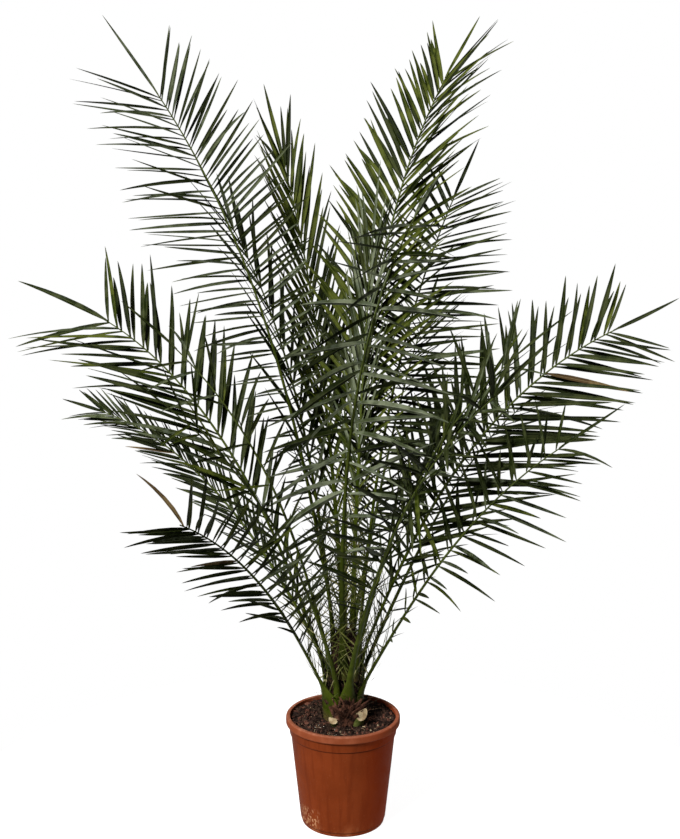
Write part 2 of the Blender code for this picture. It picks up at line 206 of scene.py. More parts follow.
class Finish(Board):
    """A procedural finish around one Principled shader."""

    def __init__(self, name, **constants):
        self.material = bpy.data.materials.new(name)
        self.material.use_nodes = True
        super().__init__(self.material.node_tree)
        self.shader = self.tree.nodes["Principled BSDF"]
        for socket, value in constants.items():
            self.shader.inputs[socket.replace("_", " ")].default_value = value
        self.place = self.node("ShaderNodeTexCoord", output="Object")

    def stretched(self, scale):
        """Object coordinates, scaled by three numbers."""
        return self.node("ShaderNodeMapping", None, {"Vector": self.place, "Scale": scale})

    def grain(self, scale, detail, stretch=(1, 1, 1)):
        """Noise with scale features per metre, from about 0.25 to 0.75."""
        size = [scale * side for side in stretch]
        return self.node("ShaderNodeTexNoise", None, {
            "Vector": self.stretched(size), "Scale": 1.0, "Detail": detail, "Roughness": 0.55,
        })

    def cells(self, scale):
        """Rounded cells, scale of them per metre: 0 in the middle of each."""
        return self.node("ShaderNodeTexVoronoi", None, {
            "Vector": self.stretched([scale] * 3), "Scale": 1.0,
        }, "Distance")

    def ramp(self, factor, low, high):
        """0 where the factor is below low, 1 where it is above high, and smooth between."""
        return self.node(
            "ShaderNodeMapRange", {"interpolation_type": "SMOOTHSTEP"},
            {"Value": factor, "From Min": low, "From Max": high},
        )

    def blend(self, share, first, second):
        """A colour part of the way from the first to the second."""
        pad = lambda shade: (*shade, 1.0) if isinstance(shade, tuple) else shade
        return self.node(
            "ShaderNodeMix", {"data_type": "RGBA"}, {0: share, 6: pad(first), 7: pad(second)}, 2
        )

    def paint(self, socket, value):
        self.tree.links.new(value.socket, self.shader.inputs[socket])

    def relief(self, height, depth, strength):
        """Bumps of the given depth in metres where height goes from 0 to 1."""
        self.paint("Normal", self.node(
            "ShaderNodeBump", None, {"Height": height, "Distance": depth, "Strength": strength}
        ))


CLAY_RED = (0.096, 0.0165, 0.0032), (0.122, 0.0220, 0.0048)
CLAY_STREAK = (0.068, 0.0100, 0.0018)
# Painted shade for the side away from the lamp.
CLAY_SHADED_SIDE = (0.150, 0.0160, 0.0003)
# Painted highlights for the rim and for the top of its lip.
CLAY_RIM_HIGHLIGHT = (0.205, 0.058, 0.026)
CLAY_LIP_HIGHLIGHT = (0.330, 0.140, 0.085)
CLAY_SOILED = (0.200, 0.070, 0.028)
# Painted shade for the creases under the rim, under the band and above the foot's step.
CLAY_CREASE_SHADE = (0.030, 0.006, 0.002)
CLAY_SCRAPED = (0.360, 0.190, 0.095)
CLAY_SPECK = (0.350, 0.160, 0.080)

clay = Finish("terracotta_plastic", IOR=1.49, Specular_IOR_Level=0.02)
height = clay.node("ShaderNodeSeparateXYZ", None, {"Vector": clay.place}, "Z")
side = clay.node("ShaderNodeSeparateXYZ", None, {"Vector": clay.place}, "X")
cloud = clay.ramp(clay.grain(9, 4), 0.32, 0.68)
streak = clay.ramp(clay.grain(60, 3, (1, 1, 0.06)), 0.42, 0.72)
dust = clay.ramp(clay.grain(34, 6), 0.46, 0.74)
speck = clay.ramp(clay.grain(420, 2), 0.66, 0.76)
base = clay.blend(cloud, *CLAY_RED)
base = clay.blend(streak * 0.55, base, CLAY_STREAK)
# Painted shade: the side towards +X, away from the lamp, is painted a deeper, darker red.
shaded_side = clay.ramp(side, 0.025, 0.115)
base = clay.blend(shaded_side * 0.90, base, CLAY_SHADED_SIDE)
# Painted highlights: the rim is painted paler in patches, and the top of its lip paler still. Soil
# washes down from the rim.
rim_highlight = clay.ramp(height, POT_HEIGHT - RIM_DEPTH - 0.001, POT_HEIGHT - RIM_DEPTH + 0.004)
base = clay.blend(rim_highlight * (0.40 + 0.40 * dust), base, CLAY_RIM_HIGHLIGHT)
lip_highlight = clay.ramp(height, POT_HEIGHT - 0.004, POT_HEIGHT - 0.0005)
base = clay.blend(lip_highlight * (0.25 + 0.50 * dust), base, CLAY_LIP_HIGHLIGHT)
low = 1 - clay.ramp(height, 0.0, 0.055)
base = clay.blend(low * dust * 0.50, base, CLAY_SOILED)
# Painted shade: dark lines are painted under the rim, under the band and above the foot's step,
# where shadow falls in the creases.
for edge in (POT_HEIGHT - RIM_DEPTH - 0.0015, POT_HEIGHT - BAND_DEPTH - 0.001, FOOT_STEP_HEIGHT):
    crease_shade = 1 - clay.ramp(clay.sum("ABSOLUTE", height - edge), 0.0004, 0.0026)
    base = clay.blend(crease_shade * 0.72, base, CLAY_CREASE_SHADE)
# Scrapes show where it was dragged on its lower left side.
scrape_x = clay.ramp(side, -0.114, -0.100) * (1 - clay.ramp(side, -0.074, -0.056))
scrape_z = clay.ramp(height, 0.004, 0.018) * (1 - clay.ramp(height, 0.050, 0.072))
scrape = scrape_x * scrape_z * clay.ramp(clay.grain(150, 6, (1, 1, 0.6)), 0.51, 0.60)
base = clay.blend(scrape * 0.65, base, CLAY_SCRAPED)
base = clay.blend(speck * 0.20, base, CLAY_SPECK)
clay.paint("Base Color", base)
clay.paint("Roughness", 0.56 + 0.14 * dust + 0.18 * scrape + 0.06 * cloud)
clay.relief(0.6 * clay.grain(900, 2) + 0.5 * streak + 0.6 * scrape, 0.0004, 0.5)

band = POT_HEIGHT - BAND_DEPTH
under_rim = POT_HEIGHT - RIM_DEPTH
inner_top = wall_radius(POT_HEIGHT) - POT_WALL
# From the middle of the floor's underside, up the outside and down the inside: radius, height
# and easing of each corner. The rings at 0.10, 0.15 and 0.18 keep the long walls even.
pot_profile = eased([
    (0.0, 0.0, 0),
    (POT_FOOT_RADIUS - FOOT_STEP - 0.006, 0.0, 0.0015),
    (POT_FOOT_RADIUS - FOOT_STEP, 0.0006, 0.0012),
    (wall_radius(FOOT_STEP_HEIGHT) - FOOT_STEP, FOOT_STEP_HEIGHT, 0.0008),
    (wall_radius(FOOT_STEP_HEIGHT + FOOT_STEP), FOOT_STEP_HEIGHT + FOOT_STEP, 0.0015),
    (wall_radius(0.10), 0.10, 0),
    (wall_radius(0.18), 0.18, 0),
    (wall_radius(band), band, 0.0006),
    (wall_radius(band) + BAND_STEP, band + 0.5 * BAND_STEP, 0.0011),
    (wall_radius(under_rim) + BAND_STEP, under_rim, 0.0008),
    (POT_RIM_RADIUS - RIM_LIP, under_rim, 0.0),
    (POT_RIM_RADIUS, under_rim + RIM_LIP, 0.0016),
    (POT_RIM_RADIUS, POT_HEIGHT, RIM_ROUND),
    (inner_top, POT_HEIGHT, RIM_LIP),
    (inner_top, POT_HEIGHT - STRAIGHT_INSIDE, 0),
    (wall_radius(0.15) - FOOT_STEP / 2 - POT_WALL, 0.15, 0),
    (wall_radius(POT_WALL) - FOOT_STEP - POT_WALL, POT_WALL, 0.002),
    (0.0, POT_WALL, 0),
], 5)
pot = put_in_scene("pot_shell", turned_shell("pot_shell", pot_profile, POT_STEPS))
drills = bmesh.new()
for k in range(DRAIN_HOLES):
    turn = 2 * math.pi * (k + 0.5) / DRAIN_HOLES
    at = Vector((DRAIN_CIRCLE * math.cos(turn), DRAIN_CIRCLE * math.sin(turn), POT_WALL / 2))
    made = bmesh.ops.create_cone(
        drills, cap_ends=True, segments=24, radius1=DRAIN_RADIUS, radius2=DRAIN_RADIUS,
        depth=4 * POT_WALL,
    )
    bmesh.ops.translate(drills, verts=made["verts"], vec=at)
drill = put_in_scene("drain_drills", mesh_of(drills, "drain_drills"))
pierce = pot.modifiers.new("drain_holes", "BOOLEAN")
pierce.operation = "DIFFERENCE"
pierce.object = drill


def settled(piece):
    """The piece with its modifiers worked into its mesh."""
    evaluated = piece.evaluated_get(bpy.context.evaluated_depsgraph_get())
    mesh = bpy.data.meshes.new_from_object(evaluated)
    piece.modifiers.clear()
    piece.data = mesh
    return piece


settled(pot)
bpy.data.objects.remove(drill, do_unlink=True)
pot.data.shade_smooth()
pot.data.set_sharp_from_angle(angle=math.radians(40))
pot.data.materials.clear()
pot.data.materials.append(clay.material)
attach(pot, "root")
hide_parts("pot")

# --- Soil ------------------------------------------------------------------------------------
# Damp potting compost of peat and fine bark fills the pot to a finger's breadth under the rim.
# It is heaped a little round the trunk, whose foot it buries.

SOIL_LEVEL = 0.268              # the trunk's foot, which the loose soil buries
SOIL_TOP = 0.282                # the surface between the heap and the wall
SOIL_FALL = 0.002               # how far it drops in a gutter along the wall
SOIL_GUTTER = (0.115, 0.130)
SOIL_HEAP = 0.008
SOIL_HEAP_RADIUS = 0.105
SOIL_GAP = 0.0003
SOIL_STEPS = 144
SOIL_RINGS = 48
SOIL_CRUMB = 0.0045
SOIL_BROWN = (0.006, 0.0035, 0.0025), (0.026, 0.014, 0.009)
SOIL_FLECK = (0.060, 0.034, 0.022)

earth = Finish("potting_soil", Specular_IOR_Level=0.06)
crumb = earth.cells(190)
tone = earth.ramp(earth.grain(55, 5), 0.35, 0.68)
base = earth.blend(tone, *SOIL_BROWN)
base = earth.blend(earth.ramp(earth.grain(240, 3), 0.58, 0.70) * 0.6, base, SOIL_FLECK)
earth.paint("Base Color", base)
earth.paint("Roughness", 0.80 + 0.15 * tone)
earth.relief(crumb * 0.7 + 0.6 * earth.grain(420, 4), 0.003, 0.9)


def smooth_step(x):
    x = min(max(x, 0.0), 1.0)
    return x * x * (3 - 2 * x)


def inner_wall(height):
    """Inside of the pot's wall."""
    share = (height - POT_WALL) / (POT_HEIGHT - STRAIGHT_INSIDE - POT_WALL)
    return mix(wall_radius(POT_WALL) - FOOT_STEP - POT_WALL, inner_top, min(share, 1.0))


def soil_top(radius):
    """Height of the soil at a distance from the pot's axis."""
    heap = SOIL_HEAP * (1 - smooth_step(radius / SOIL_HEAP_RADIUS))
    inside, outside = SOIL_GUTTER
    return SOIL_TOP + heap - SOIL_FALL * smooth_step((radius - inside) / (outside - inside))


def crumbled(x, y, height):
    """How far the crumbs stand above or below the pressed soil."""
    if height < SOIL_TOP - SOIL_FALL - 0.002:
        return 0.0
    spot = Vector((x, y, 0.0))
    coarse = noise.fractal(spot * 42, 0.8, 2.1, 4)
    fine = noise.noise(spot * 260 + Vector((3, 7, 1)))
    radius = math.hypot(x, y)
    edge = min(1.0, max(0.0, (inner_wall(SOIL_TOP) - radius) / 0.008))
    return SOIL_CRUMB * (0.65 * coarse + 0.28 * fine - 0.15) * (0.25 + 0.75 * edge)


soil_foot = POT_WALL + SOIL_GAP
soil_edge = SOIL_TOP - SOIL_FALL - 0.004
wall_side = inner_wall(soil_edge) - SOIL_GAP
soil_profile = [
    (0.0, soil_foot), (inner_wall(soil_foot) - 0.001, soil_foot),
    (inner_wall(0.12) - SOIL_GAP, 0.12), (wall_side, soil_edge),
]
for k in range(SOIL_RINGS + 1):
    radius = wall_side * (1 - k / SOIL_RINGS)
    soil_profile.append((radius, soil_top(radius)))
soil_mesh = turned_shell("potting_soil", soil_profile, SOIL_STEPS, crumbled)
soil = put_in_scene("potting_soil", soil_mesh)
soil.data.shade_smooth()
soil.data.materials.append(earth.material)
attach(soil, "root")
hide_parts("soil")

# --- Bark chips and perlite ------------------------------------------------------------------
# Crushed bark, dry rootlets and a few white grains of perlite lie loose on the soil, as they
# come out of the potting machine. Most are flat flakes, and they lie at all angles.

CHIP_EDGE = 0.133               # they lie within this radius
TRUNK_CLEAR = 0.044             # and outside this one
ALL_ROUND = (0, 360)
BARK_DARK = (0.009, 0.005, 0.004), (0.034, 0.018, 0.012), (0.080, 0.048, 0.034)
BARK_RED = (0.038, 0.014, 0.009), (0.098, 0.038, 0.024), (0.160, 0.090, 0.060)
BARK_PALE = (0.120, 0.085, 0.050), (0.270, 0.200, 0.120), (0.380, 0.300, 0.200)
PERLITE_WHITE = (0.36, 0.34, 0.28), (0.60, 0.58, 0.50), (0.70, 0.68, 0.62)
CHIP_LIFT = 0.0006              # how high over the soil their middles lie
# Length, breadth and thickness of each kind of flake, before its corners are worn.
FLAKE_SIDES = (1.0, 0.36, 0.12), (0.9, 0.55, 0.18), (1.0, 0.16, 0.10), (0.7, 0.6, 0.4)
GRAIN_SIDES = ((1.0, 0.85, 0.8),) * 2
ROOTLET_SIDES = ((1.0, 0.07, 0.06),)


def chip_shape(name, sides, chance):
    """A flake or nugget about one unit long, with a few uneven faces."""
    shape = bmesh.new()
    bmesh.ops.create_icosphere(shape, subdivisions=1, radius=0.5)
    for vertex in shape.verts:
        for axis in range(3):
            vertex.co[axis] *= sides[axis] * chance.uniform(0.62, 1.0)
    return bpy.data.objects.new(name, mesh_of(shape, name))


def tree_with(name, sockets):
    """A Geometry Nodes tree with named inputs, and the board on which its nodes are laid."""
    tree = bpy.data.node_groups.new(name, "GeometryNodeTree")
    tree.interface.new_socket("Geometry", in_out="OUTPUT", socket_type="NodeSocketGeometry")
    tree.interface.new_socket("Geometry", in_out="INPUT", socket_type="NodeSocketGeometry")
    for label, kind in sockets.items():
        tree.interface.new_socket(label, in_out="INPUT", socket_type="NodeSocket" + kind)
    board = Board(tree)
    entry = tree.nodes.new("NodeGroupInput")
    given = {socket.name: Signal(board, socket) for socket in entry.outputs if socket.name}
    return board, given


def close_tree(board, geometry):
    """Ends a tree in its group output."""
    leave = board.tree.nodes.new("NodeGroupOutput")
    board.tree.links.new(geometry.socket, leave.inputs["Geometry"])
    return board.tree


def grown(name, mesh, tree, values):
    """The piece that a tree makes of a starting mesh, as a plain mesh at the origin."""
    piece = put_in_scene(name, mesh)
    growth = piece.modifiers.new("growth", "NODES")
    growth.node_group = tree
    for item in tree.interface.items_tree:
        if item.in_out == "INPUT" and item.name in values:
            growth[item.identifier] = values[item.name]
    return settled(piece)


def scaled(board, vector, length):
    return board.node("ShaderNodeVectorMath", {"operation": "SCALE"}, {0: vector, "Scale": length})


strew, given = tree_with("strew_over_soil", {
    "Flakes": "Collection", "Per square metre": "Float", "Smallest": "Float",
    "Largest": "Float", "Tilt": "Float", "Seed": "Int", "Finish": "Material",
})
points = strew.node("GeometryNodeDistributePointsOnFaces", {"distribute_method": "RANDOM"}, {
    "Mesh": given["Geometry"], "Density": given["Per square metre"], "Seed": given["Seed"],
})
turns = strew.node("ShaderNodeCombineXYZ", None, {
    "X": given["Tilt"], "Y": given["Tilt"], "Z": math.pi,
})
turn = strew.node("FunctionNodeRandomValue", {"data_type": "FLOAT_VECTOR"}, {
    "Min": scaled(strew, turns, -1.0), "Max": turns, "Seed": given["Seed"] + 1,
})
size = strew.node("FunctionNodeRandomValue", {"data_type": "FLOAT"}, {
    2: given["Smallest"], 3: given["Largest"], "Seed": given["Seed"] + 2,
}, 1)
flakes = strew.node("GeometryNodeCollectionInfo", None, {
    "Collection": given["Flakes"], "Separate Children": True, "Reset Children": True,
})
strewn = strew.node("GeometryNodeInstanceOnPoints", None, {
    "Points": points, "Instance": flakes, "Pick Instance": True, "Rotation": turn, "Scale": size,
})
strewn = strew.node("GeometryNodeRealizeInstances", None, {"Geometry": strewn})
strewn = strew.node("GeometryNodeSetMaterial", None, {
    "Geometry": strewn, "Material": given["Finish"],
})
strew_tree = close_tree(strew, strewn)


def soil_patch(low_bearing, high_bearing, inner, outer, rings=12, sides=40):
    """A part of the soil's surface between two bearings in degrees and two radii."""
    points, faces = [], []
    for i in range(rings + 1):
        radius = mix(inner, outer, i / rings)
        for j in range(sides + 1):
            turn = math.radians(mix(low_bearing, high_bearing, j / sides))
            x, y = radius * math.cos(turn), radius * math.sin(turn)
            height = soil_top(radius)
            points.append((x, y, height + crumbled(x, y, height) + CHIP_LIFT))
    for i in range(rings):
        for j in range(sides):
            k = i * (sides + 1) + j
            faces.append((k, k + sides + 1, k + sides + 2, k + 1))
    mesh = bpy.data.meshes.new("soil_patch")
    mesh.from_pydata(points, [], faces)
    return mesh


def chip_finish(name, dark, light, pale, rough=0.85):
    """A finish of two close browns with paler, lengthwise fibres."""
    finish = Finish(name, Specular_IOR_Level=0.07)
    tone = finish.ramp(finish.grain(70, 2), 0.36, 0.64)
    fibre = finish.grain(380, 3, (1, 0.25, 1))
    base = finish.blend(tone, dark, light)
    base = finish.blend(finish.ramp(fibre, 0.56, 0.70) * 0.6, base, pale)
    finish.paint("Base Color", base)
    finish.paint("Roughness", rough + 0.1 * tone)
    finish.relief(fibre, 0.0012, 0.8)
    return finish.material


def flakes_of(name, sorts):
    """A collection of flake shapes, one for each sort's sides."""
    shapes = bpy.data.collections.new(name + "_shapes")
    for k, sides in enumerate(sorts):
        shapes.objects.link(chip_shape(f"{name}_{k}", sides, chance))
    return shapes


chance = random.Random(21)
flake = flakes_of("flake", FLAKE_SIDES)
grain = flakes_of("grain", GRAIN_SIDES)
rootlet = flakes_of("rootlet", ROOTLET_SIDES)
dark_bark = chip_finish("dark_bark", *BARK_DARK)
red_bark = chip_finish("red_bark", *BARK_RED)
pale_bark = chip_finish("pale_bark", *BARK_PALE)
perlite = chip_finish("perlite", *PERLITE_WHITE, 0.9)

# Each kind lies between two bearings and within two radii, so many to the square metre. Its
# pieces have lengths between two limits, and are tipped by up to tilt radians.
Strewn = namedtuple("Strewn", "name shapes bearings inner outer density smallest largest tilt "
                    "seed finish")
for heap in (
    Strewn("bark_chips_dark", flake, ALL_ROUND, TRUNK_CLEAR, CHIP_EDGE,
           13000, 0.008, 0.034, 1.0, 7, dark_bark),
    Strewn("bark_chips_red", flake, ALL_ROUND, TRUNK_CLEAR, CHIP_EDGE,
           5500, 0.007, 0.031, 1.0, 73, red_bark),
    Strewn("bark_chips_pale", flake, ALL_ROUND, 0.060, CHIP_EDGE,
           1900, 0.004, 0.014, 0.7, 62, pale_bark),
    Strewn("dry_rootlets", rootlet, (190, 300), 0.070, CHIP_EDGE - 0.010,
           4200, 0.010, 0.028, 0.3, 34, pale_bark),
    Strewn("perlite_grains", grain, (200, 272), 0.080, CHIP_EDGE - 0.004,
           5600, 0.002, 0.0042, 3.1, 76, perlite),
):
    patch = soil_patch(*heap.bearings, heap.inner, heap.outer)
    piece = grown(heap.name, patch, strew_tree, {
        "Flakes": heap.shapes, "Per square metre": float(heap.density), "Smallest": heap.smallest,
        "Largest": heap.largest, "Tilt": heap.tilt, "Seed": heap.seed, "Finish": heap.finish,
    })
    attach(piece, "root")
    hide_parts("soil")

# --- Trunk -----------------------------------------------------------------------------------
# The short trunk is wrapped in the feet of old fronds. They overlap like shingles in a spiral,
# have weathered to brown, and hold a coarse net of fibre between them.

TRUNK_FOOT_RADIUS = 0.050
TRUNK_NECK_RADIUS = 0.041
TRUNK_TOP_RADIUS = 0.021
TRUNK_FLARE = 0.022
TRUNK_HEIGHT = 0.250
TRUNK_CROWN = 0.010             # how far its top is domed
TRUNK_LEAN = math.radians(2.0)
TRUNK_RINGS = 110
TRUNK_SIDES = 132
SHINGLES = 34
SHINGLE_SEATS = (-0.03, TRUNK_HEIGHT - 0.02)
SHINGLE_HALF_WIDTH = 0.024
SHINGLE_HEIGHT = 0.052
SHINGLE_DEPTH = 0.0042
SPIRAL_STEP = 137.5             # degrees from one frond's seat to the next
BARK_BROWN = (0.012, 0.007, 0.005), (0.062, 0.033, 0.021)
BARK_PATCH = (0.052, 0.021, 0.014)
BARK_FIBRE = (0.190, 0.120, 0.075)


def trunk_centre(height):
    """Middle of the trunk at a height above the soil."""
    return Vector((height * math.tan(TRUNK_LEAN), 0.0, SOIL_LEVEL + SOIL_GAP + height))


def trunk_radius(height):
    """A cone above the flare, and a steeper one down to the soil."""
    if height < TRUNK_FLARE:
        return mix(TRUNK_FOOT_RADIUS, TRUNK_NECK_RADIUS, height / TRUNK_FLARE)
    share = (height - TRUNK_FLARE) / (TRUNK_HEIGHT - TRUNK_FLARE)
    return mix(TRUNK_NECK_RADIUS, TRUNK_TOP_RADIUS, share)


def seat_axes(bearing):
    """Outwards, sideways and up, at a bearing in degrees round the trunk."""
    turn = math.radians(bearing)
    out = Vector((math.cos(turn), math.sin(turn), 0.0))
    across = Vector((math.sin(turn), -math.cos(turn), 0.0))
    return out, across, Vector((0.0, 0.0, 1.0))


def shingle_relief(bearing, height):
    """How far the overlapping leaf feet stand out at a place on the trunk."""
    proud = 0.0
    for k in range(SHINGLES):
        low = mix(*SHINGLE_SEATS, k / SHINGLES)
        away = (bearing - k * SPIRAL_STEP + 180) % 360 - 180
        across = math.radians(away) * trunk_radius(height) / SHINGLE_HALF_WIDTH
        if abs(across) >= 1:
            continue
        ragged = 0.06 * noise.noise(Vector((across * 5, k * 3.7, 0)))
        share = (height - low) / (SHINGLE_HEIGHT * (1 - 0.35 * across * across + ragged))
        if 0 < share < 1:
            proud = max(proud, SHINGLE_DEPTH * (1 - across * across) ** 0.5 * share ** 0.7)
    return proud


def bridge(shape, rings):
    """Lays faces between each ring of points and the next."""
    sides = len(rings[0])
    for low, high in zip(rings, rings[1:]):
        for j in range(sides):
            after = (j + 1) % sides
            shape.faces.new((low[j], low[after], high[after], high[j]))


def close_ring(shape, ring, middle):
    """Closes a ring with a fan of faces round one more point, and returns them."""
    pole = shape.verts.new(middle)
    sides = len(ring)
    return [shape.faces.new((ring[j], ring[(j + 1) % sides], pole)) for j in range(sides)]


trunk_shape = bmesh.new()
trunk_rings = []
for i in range(TRUNK_RINGS + 1):
    height = TRUNK_HEIGHT * i / TRUNK_RINGS
    ring = []
    for j in range(TRUNK_SIDES):
        bearing = 360 * j / TRUNK_SIDES
        out = seat_axes(bearing)[0]
        fibre = noise.noise(Vector((out.x * 22, out.y * 22, height * 40)))
        fibre += 0.6 * noise.noise(Vector((out.x * 60, out.y * 60, height * 70)))
        spread = trunk_radius(height) + shingle_relief(bearing, height) + 0.0009 * fibre - 0.0012
        ring.append(trunk_shape.verts.new(trunk_centre(height) + out * spread))
    trunk_rings.append(ring)
bridge(trunk_shape, trunk_rings)
close_ring(trunk_shape, trunk_rings[0], trunk_centre(0.0))
close_ring(trunk_shape, trunk_rings[-1], trunk_centre(TRUNK_HEIGHT + TRUNK_CROWN))
trunk = put_in_scene("fibrous_trunk", mesh_of(trunk_shape, "fibrous_trunk"))
trunk.data.shade_smooth()

bark = Finish("old_leaf_feet", Specular_IOR_Level=0.06)
strand = bark.ramp(bark.grain(210, 4, (1, 1, 0.10)), 0.40, 0.66)
patch = bark.ramp(bark.grain(38, 3), 0.38, 0.62)
base = bark.blend(strand, *BARK_BROWN)
base = bark.blend(patch * 0.6, base, BARK_PATCH)
fibre = bark.ramp(bark.grain(520, 2, (1, 1, 0.2)), 0.60, 0.72)
base = bark.blend(fibre * 0.5, base, BARK_FIBRE)
bark.paint("Base Color", base)
bark.paint("Roughness", 0.78 + 0.15 * strand)
bark.relief(strand, 0.0022, 0.9)
trunk.data.materials.append(bark.material)
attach(trunk, "root")
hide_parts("trunk")

# --- Old leaf feet and fibre -----------------------------------------------------------------
# Between the living stalks stand the dry, brown tops of older leaf feet. Their torn edges end
# in stiff hairs and long threads, which curl out into the gaps.

LEAF_FEET = 34
LEAF_FOOT_HALF_WIDTH = 0.022
LEAF_FOOT_HEIGHT = 0.042
LEAF_FOOT_SEATS = (0.004, TRUNK_HEIGHT * 0.80)
LEAF_FOOT_LEANS = (5, 22)       # degrees from upright


def blade_shape(name, rings):
    """A slim, closed, pointed blade along +Y, one unit long and folded along its middle.

    Each ring holds its part of the length, its half width, how far its edges stand up and
    half its thickness in the middle, in units of the blade's half width.
    """
    points, faces, spots = [], [], []
    for part, wide, raised, thick in rings:
        for x, z in ((-wide, raised), (0.0, thick), (wide, raised), (0.0, -thick)):
            points.append((x, part, z))
            spots.append((0.5 + 0.5 * x / max(wide, 1e-6), part))
    last = len(rings) - 1
    for i in range(last):
        for j in range(4):
            a, b = i * 4 + j, i * 4 + (j + 1) % 4
            faces.append((a, b, b + 4, a + 4))
    faces.append((3, 2, 1, 0))
    points.append((0.0, 1.0, rings[-1][2] * 0.5))
    spots.append((0.5, 1.0))
    for j in range(4):
        faces.append((last * 4 + j, last * 4 + (j + 1) % 4, len(points) - 1))
    mesh = bpy.data.meshes.new(name)
    mesh.from_pydata(points, [], faces)
    chart = mesh.uv_layers.new(name="blade")
    for corner, loop in enumerate(mesh.loops):
        chart.data[corner].uv = spots[loop.vertex_index]
    part = mesh.attributes.new("part", "FLOAT", "POINT")
    part.data.foreach_set("value", [point[1] for point in points])
    shape = bmesh.new()
    shape.from_mesh(mesh)
    bmesh.ops.recalc_face_normals(shape, faces=shape.faces)
    shape.to_mesh(mesh)
    shape.free()
    return bpy.data.objects.new(name, mesh)


plant, given = tree_with("blades_on_a_stalk", {"Blade": "Object", "Finish": "Material"})


def read(board, name, kind="FLOAT"):
    """A named attribute of what a tree works on."""
    return board.node("GeometryNodeInputNamedAttribute", {"data_type": kind}, {"Name": name})


turn = plant.node("FunctionNodeAxesToRotation", {"primary_axis": "Y", "secondary_axis": "Z"}, {
    "Primary Axis": read(plant, "along", "FLOAT_VECTOR"),
    "Secondary Axis": read(plant, "face", "FLOAT_VECTOR"),
})
blade = plant.node("GeometryNodeObjectInfo", None, {"Object": given["Blade"]}, "Geometry")
blades = plant.node("GeometryNodeInstanceOnPoints", None, {
    "Points": given["Geometry"], "Instance": blade, "Rotation": turn,
    "Scale": read(plant, "size", "FLOAT_VECTOR"),
})
blades = plant.node("GeometryNodeRealizeInstances", None, {"Geometry": blades})
part = read(plant, "part")
blades = plant.node("GeometryNodeSetPosition", None, {
    "Geometry": blades,
    "Offset": scaled(plant, read(plant, "bend", "FLOAT_VECTOR"), part * part),
})
blades = plant.node("GeometryNodeSetMaterial", None, {
    "Geometry": blades, "Material": given["Finish"],
})
blade_tree = close_tree(plant, blades)

Blade = namedtuple("Blade", "root along face size bend")


def planted(name, shape, blades, material):
    """One piece of many blades, each at its own root, turned, sized and bent."""
    mesh = bpy.data.meshes.new(name)
    mesh.from_pydata([tuple(blade.root) for blade in blades], [], [])
    for label in ("along", "face", "size", "bend"):
        layer = mesh.attributes.new(label, "FLOAT_VECTOR", "POINT")
        layer.data.foreach_set("vector", [x for blade in blades for x in getattr(blade, label)])
    piece = grown(name, mesh, blade_tree, {"Blade": shape, "Finish": material})
    for label in ("along", "face", "size", "bend", "part"):
        layer = piece.data.attributes.get(label)
        if layer:
            piece.data.attributes.remove(layer)
    return piece


def seat_point(bearing, height, half_thickness):
    """A stalk's middle where its inner face lies on the trunk."""
    out = seat_axes(bearing)[0]
    return trunk_centre(height) + out * (trunk_radius(height) + SOIL_GAP + half_thickness)


def turned_towards(start, goal, degrees):
    """A unit vector turned by an angle from one direction towards another at right angles."""
    turn = math.radians(degrees)
    return start * math.cos(turn) + goal * math.sin(turn)


def square_to(direction, axis):
    """The part of a direction that is at right angles to an axis."""
    return (direction - axis * direction.dot(axis)).normalized()


chance = random.Random(34)
foot_shape = blade_shape("leaf_foot_shape", (
    (0.0, 0.95, 0.30, 0.08), (0.30, 1.0, 0.34, 0.10), (0.60, 0.86, 0.26, 0.08),
    (0.84, 0.52, 0.12, 0.05),
))
feet = []
for k in range(LEAF_FEET):
    bearing = k * SPIRAL_STEP + 20 + chance.uniform(-12, 12)
    height = mix(*LEAF_FOOT_SEATS, k / LEAF_FEET)
    out, across, up = seat_axes(bearing)
    along = turned_towards(up, out, chance.uniform(*LEAF_FOOT_LEANS))
    half = LEAF_FOOT_HALF_WIDTH * chance.uniform(0.7, 1.05)
    size = (half, LEAF_FOOT_HEIGHT * chance.uniform(0.8, 1.6), LEAF_FOOT_HALF_WIDTH)
    bend = out * chance.uniform(0.0, 0.006)
    root = seat_point(bearing, height, 0.001)
    feet.append(Blade(root, along, square_to(-out, along), size, bend))
feet = planted("old_leaf_feet", foot_shape, feet, bark.material)
feet.data.shade_smooth()
feet.data.set_sharp_from_angle(angle=math.radians(50))
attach(feet, "root")
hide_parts("trunk")

# Low on the trunk the oldest sheaths have split into ragged, red-brown strips. Most stand at
# the front, and every fourth one is a broad flap.
HUSK_STRIPS = 230
HUSK_LENGTH = 0.070
HUSK_FRONT_SHARE = 0.55
HUSK_FRONT = (261, 293)         # bearings, and the rest of the way round
HUSK_SIDES = (-60, 185)
HUSK_FRONT_RADII = (0.062, 0.074)
HUSK_SIDE_RADII = (0.050, 0.060)
HUSK_ROOTS = (-0.004, 0.022)    # below or above the soil
HUSK_FLAP = (0.008, 0.014)      # half widths
HUSK_SLIVER = (0.0015, 0.0050)
HUSK_BROWN = (0.014, 0.006, 0.004), (0.078, 0.032, 0.019), (0.210, 0.115, 0.070)

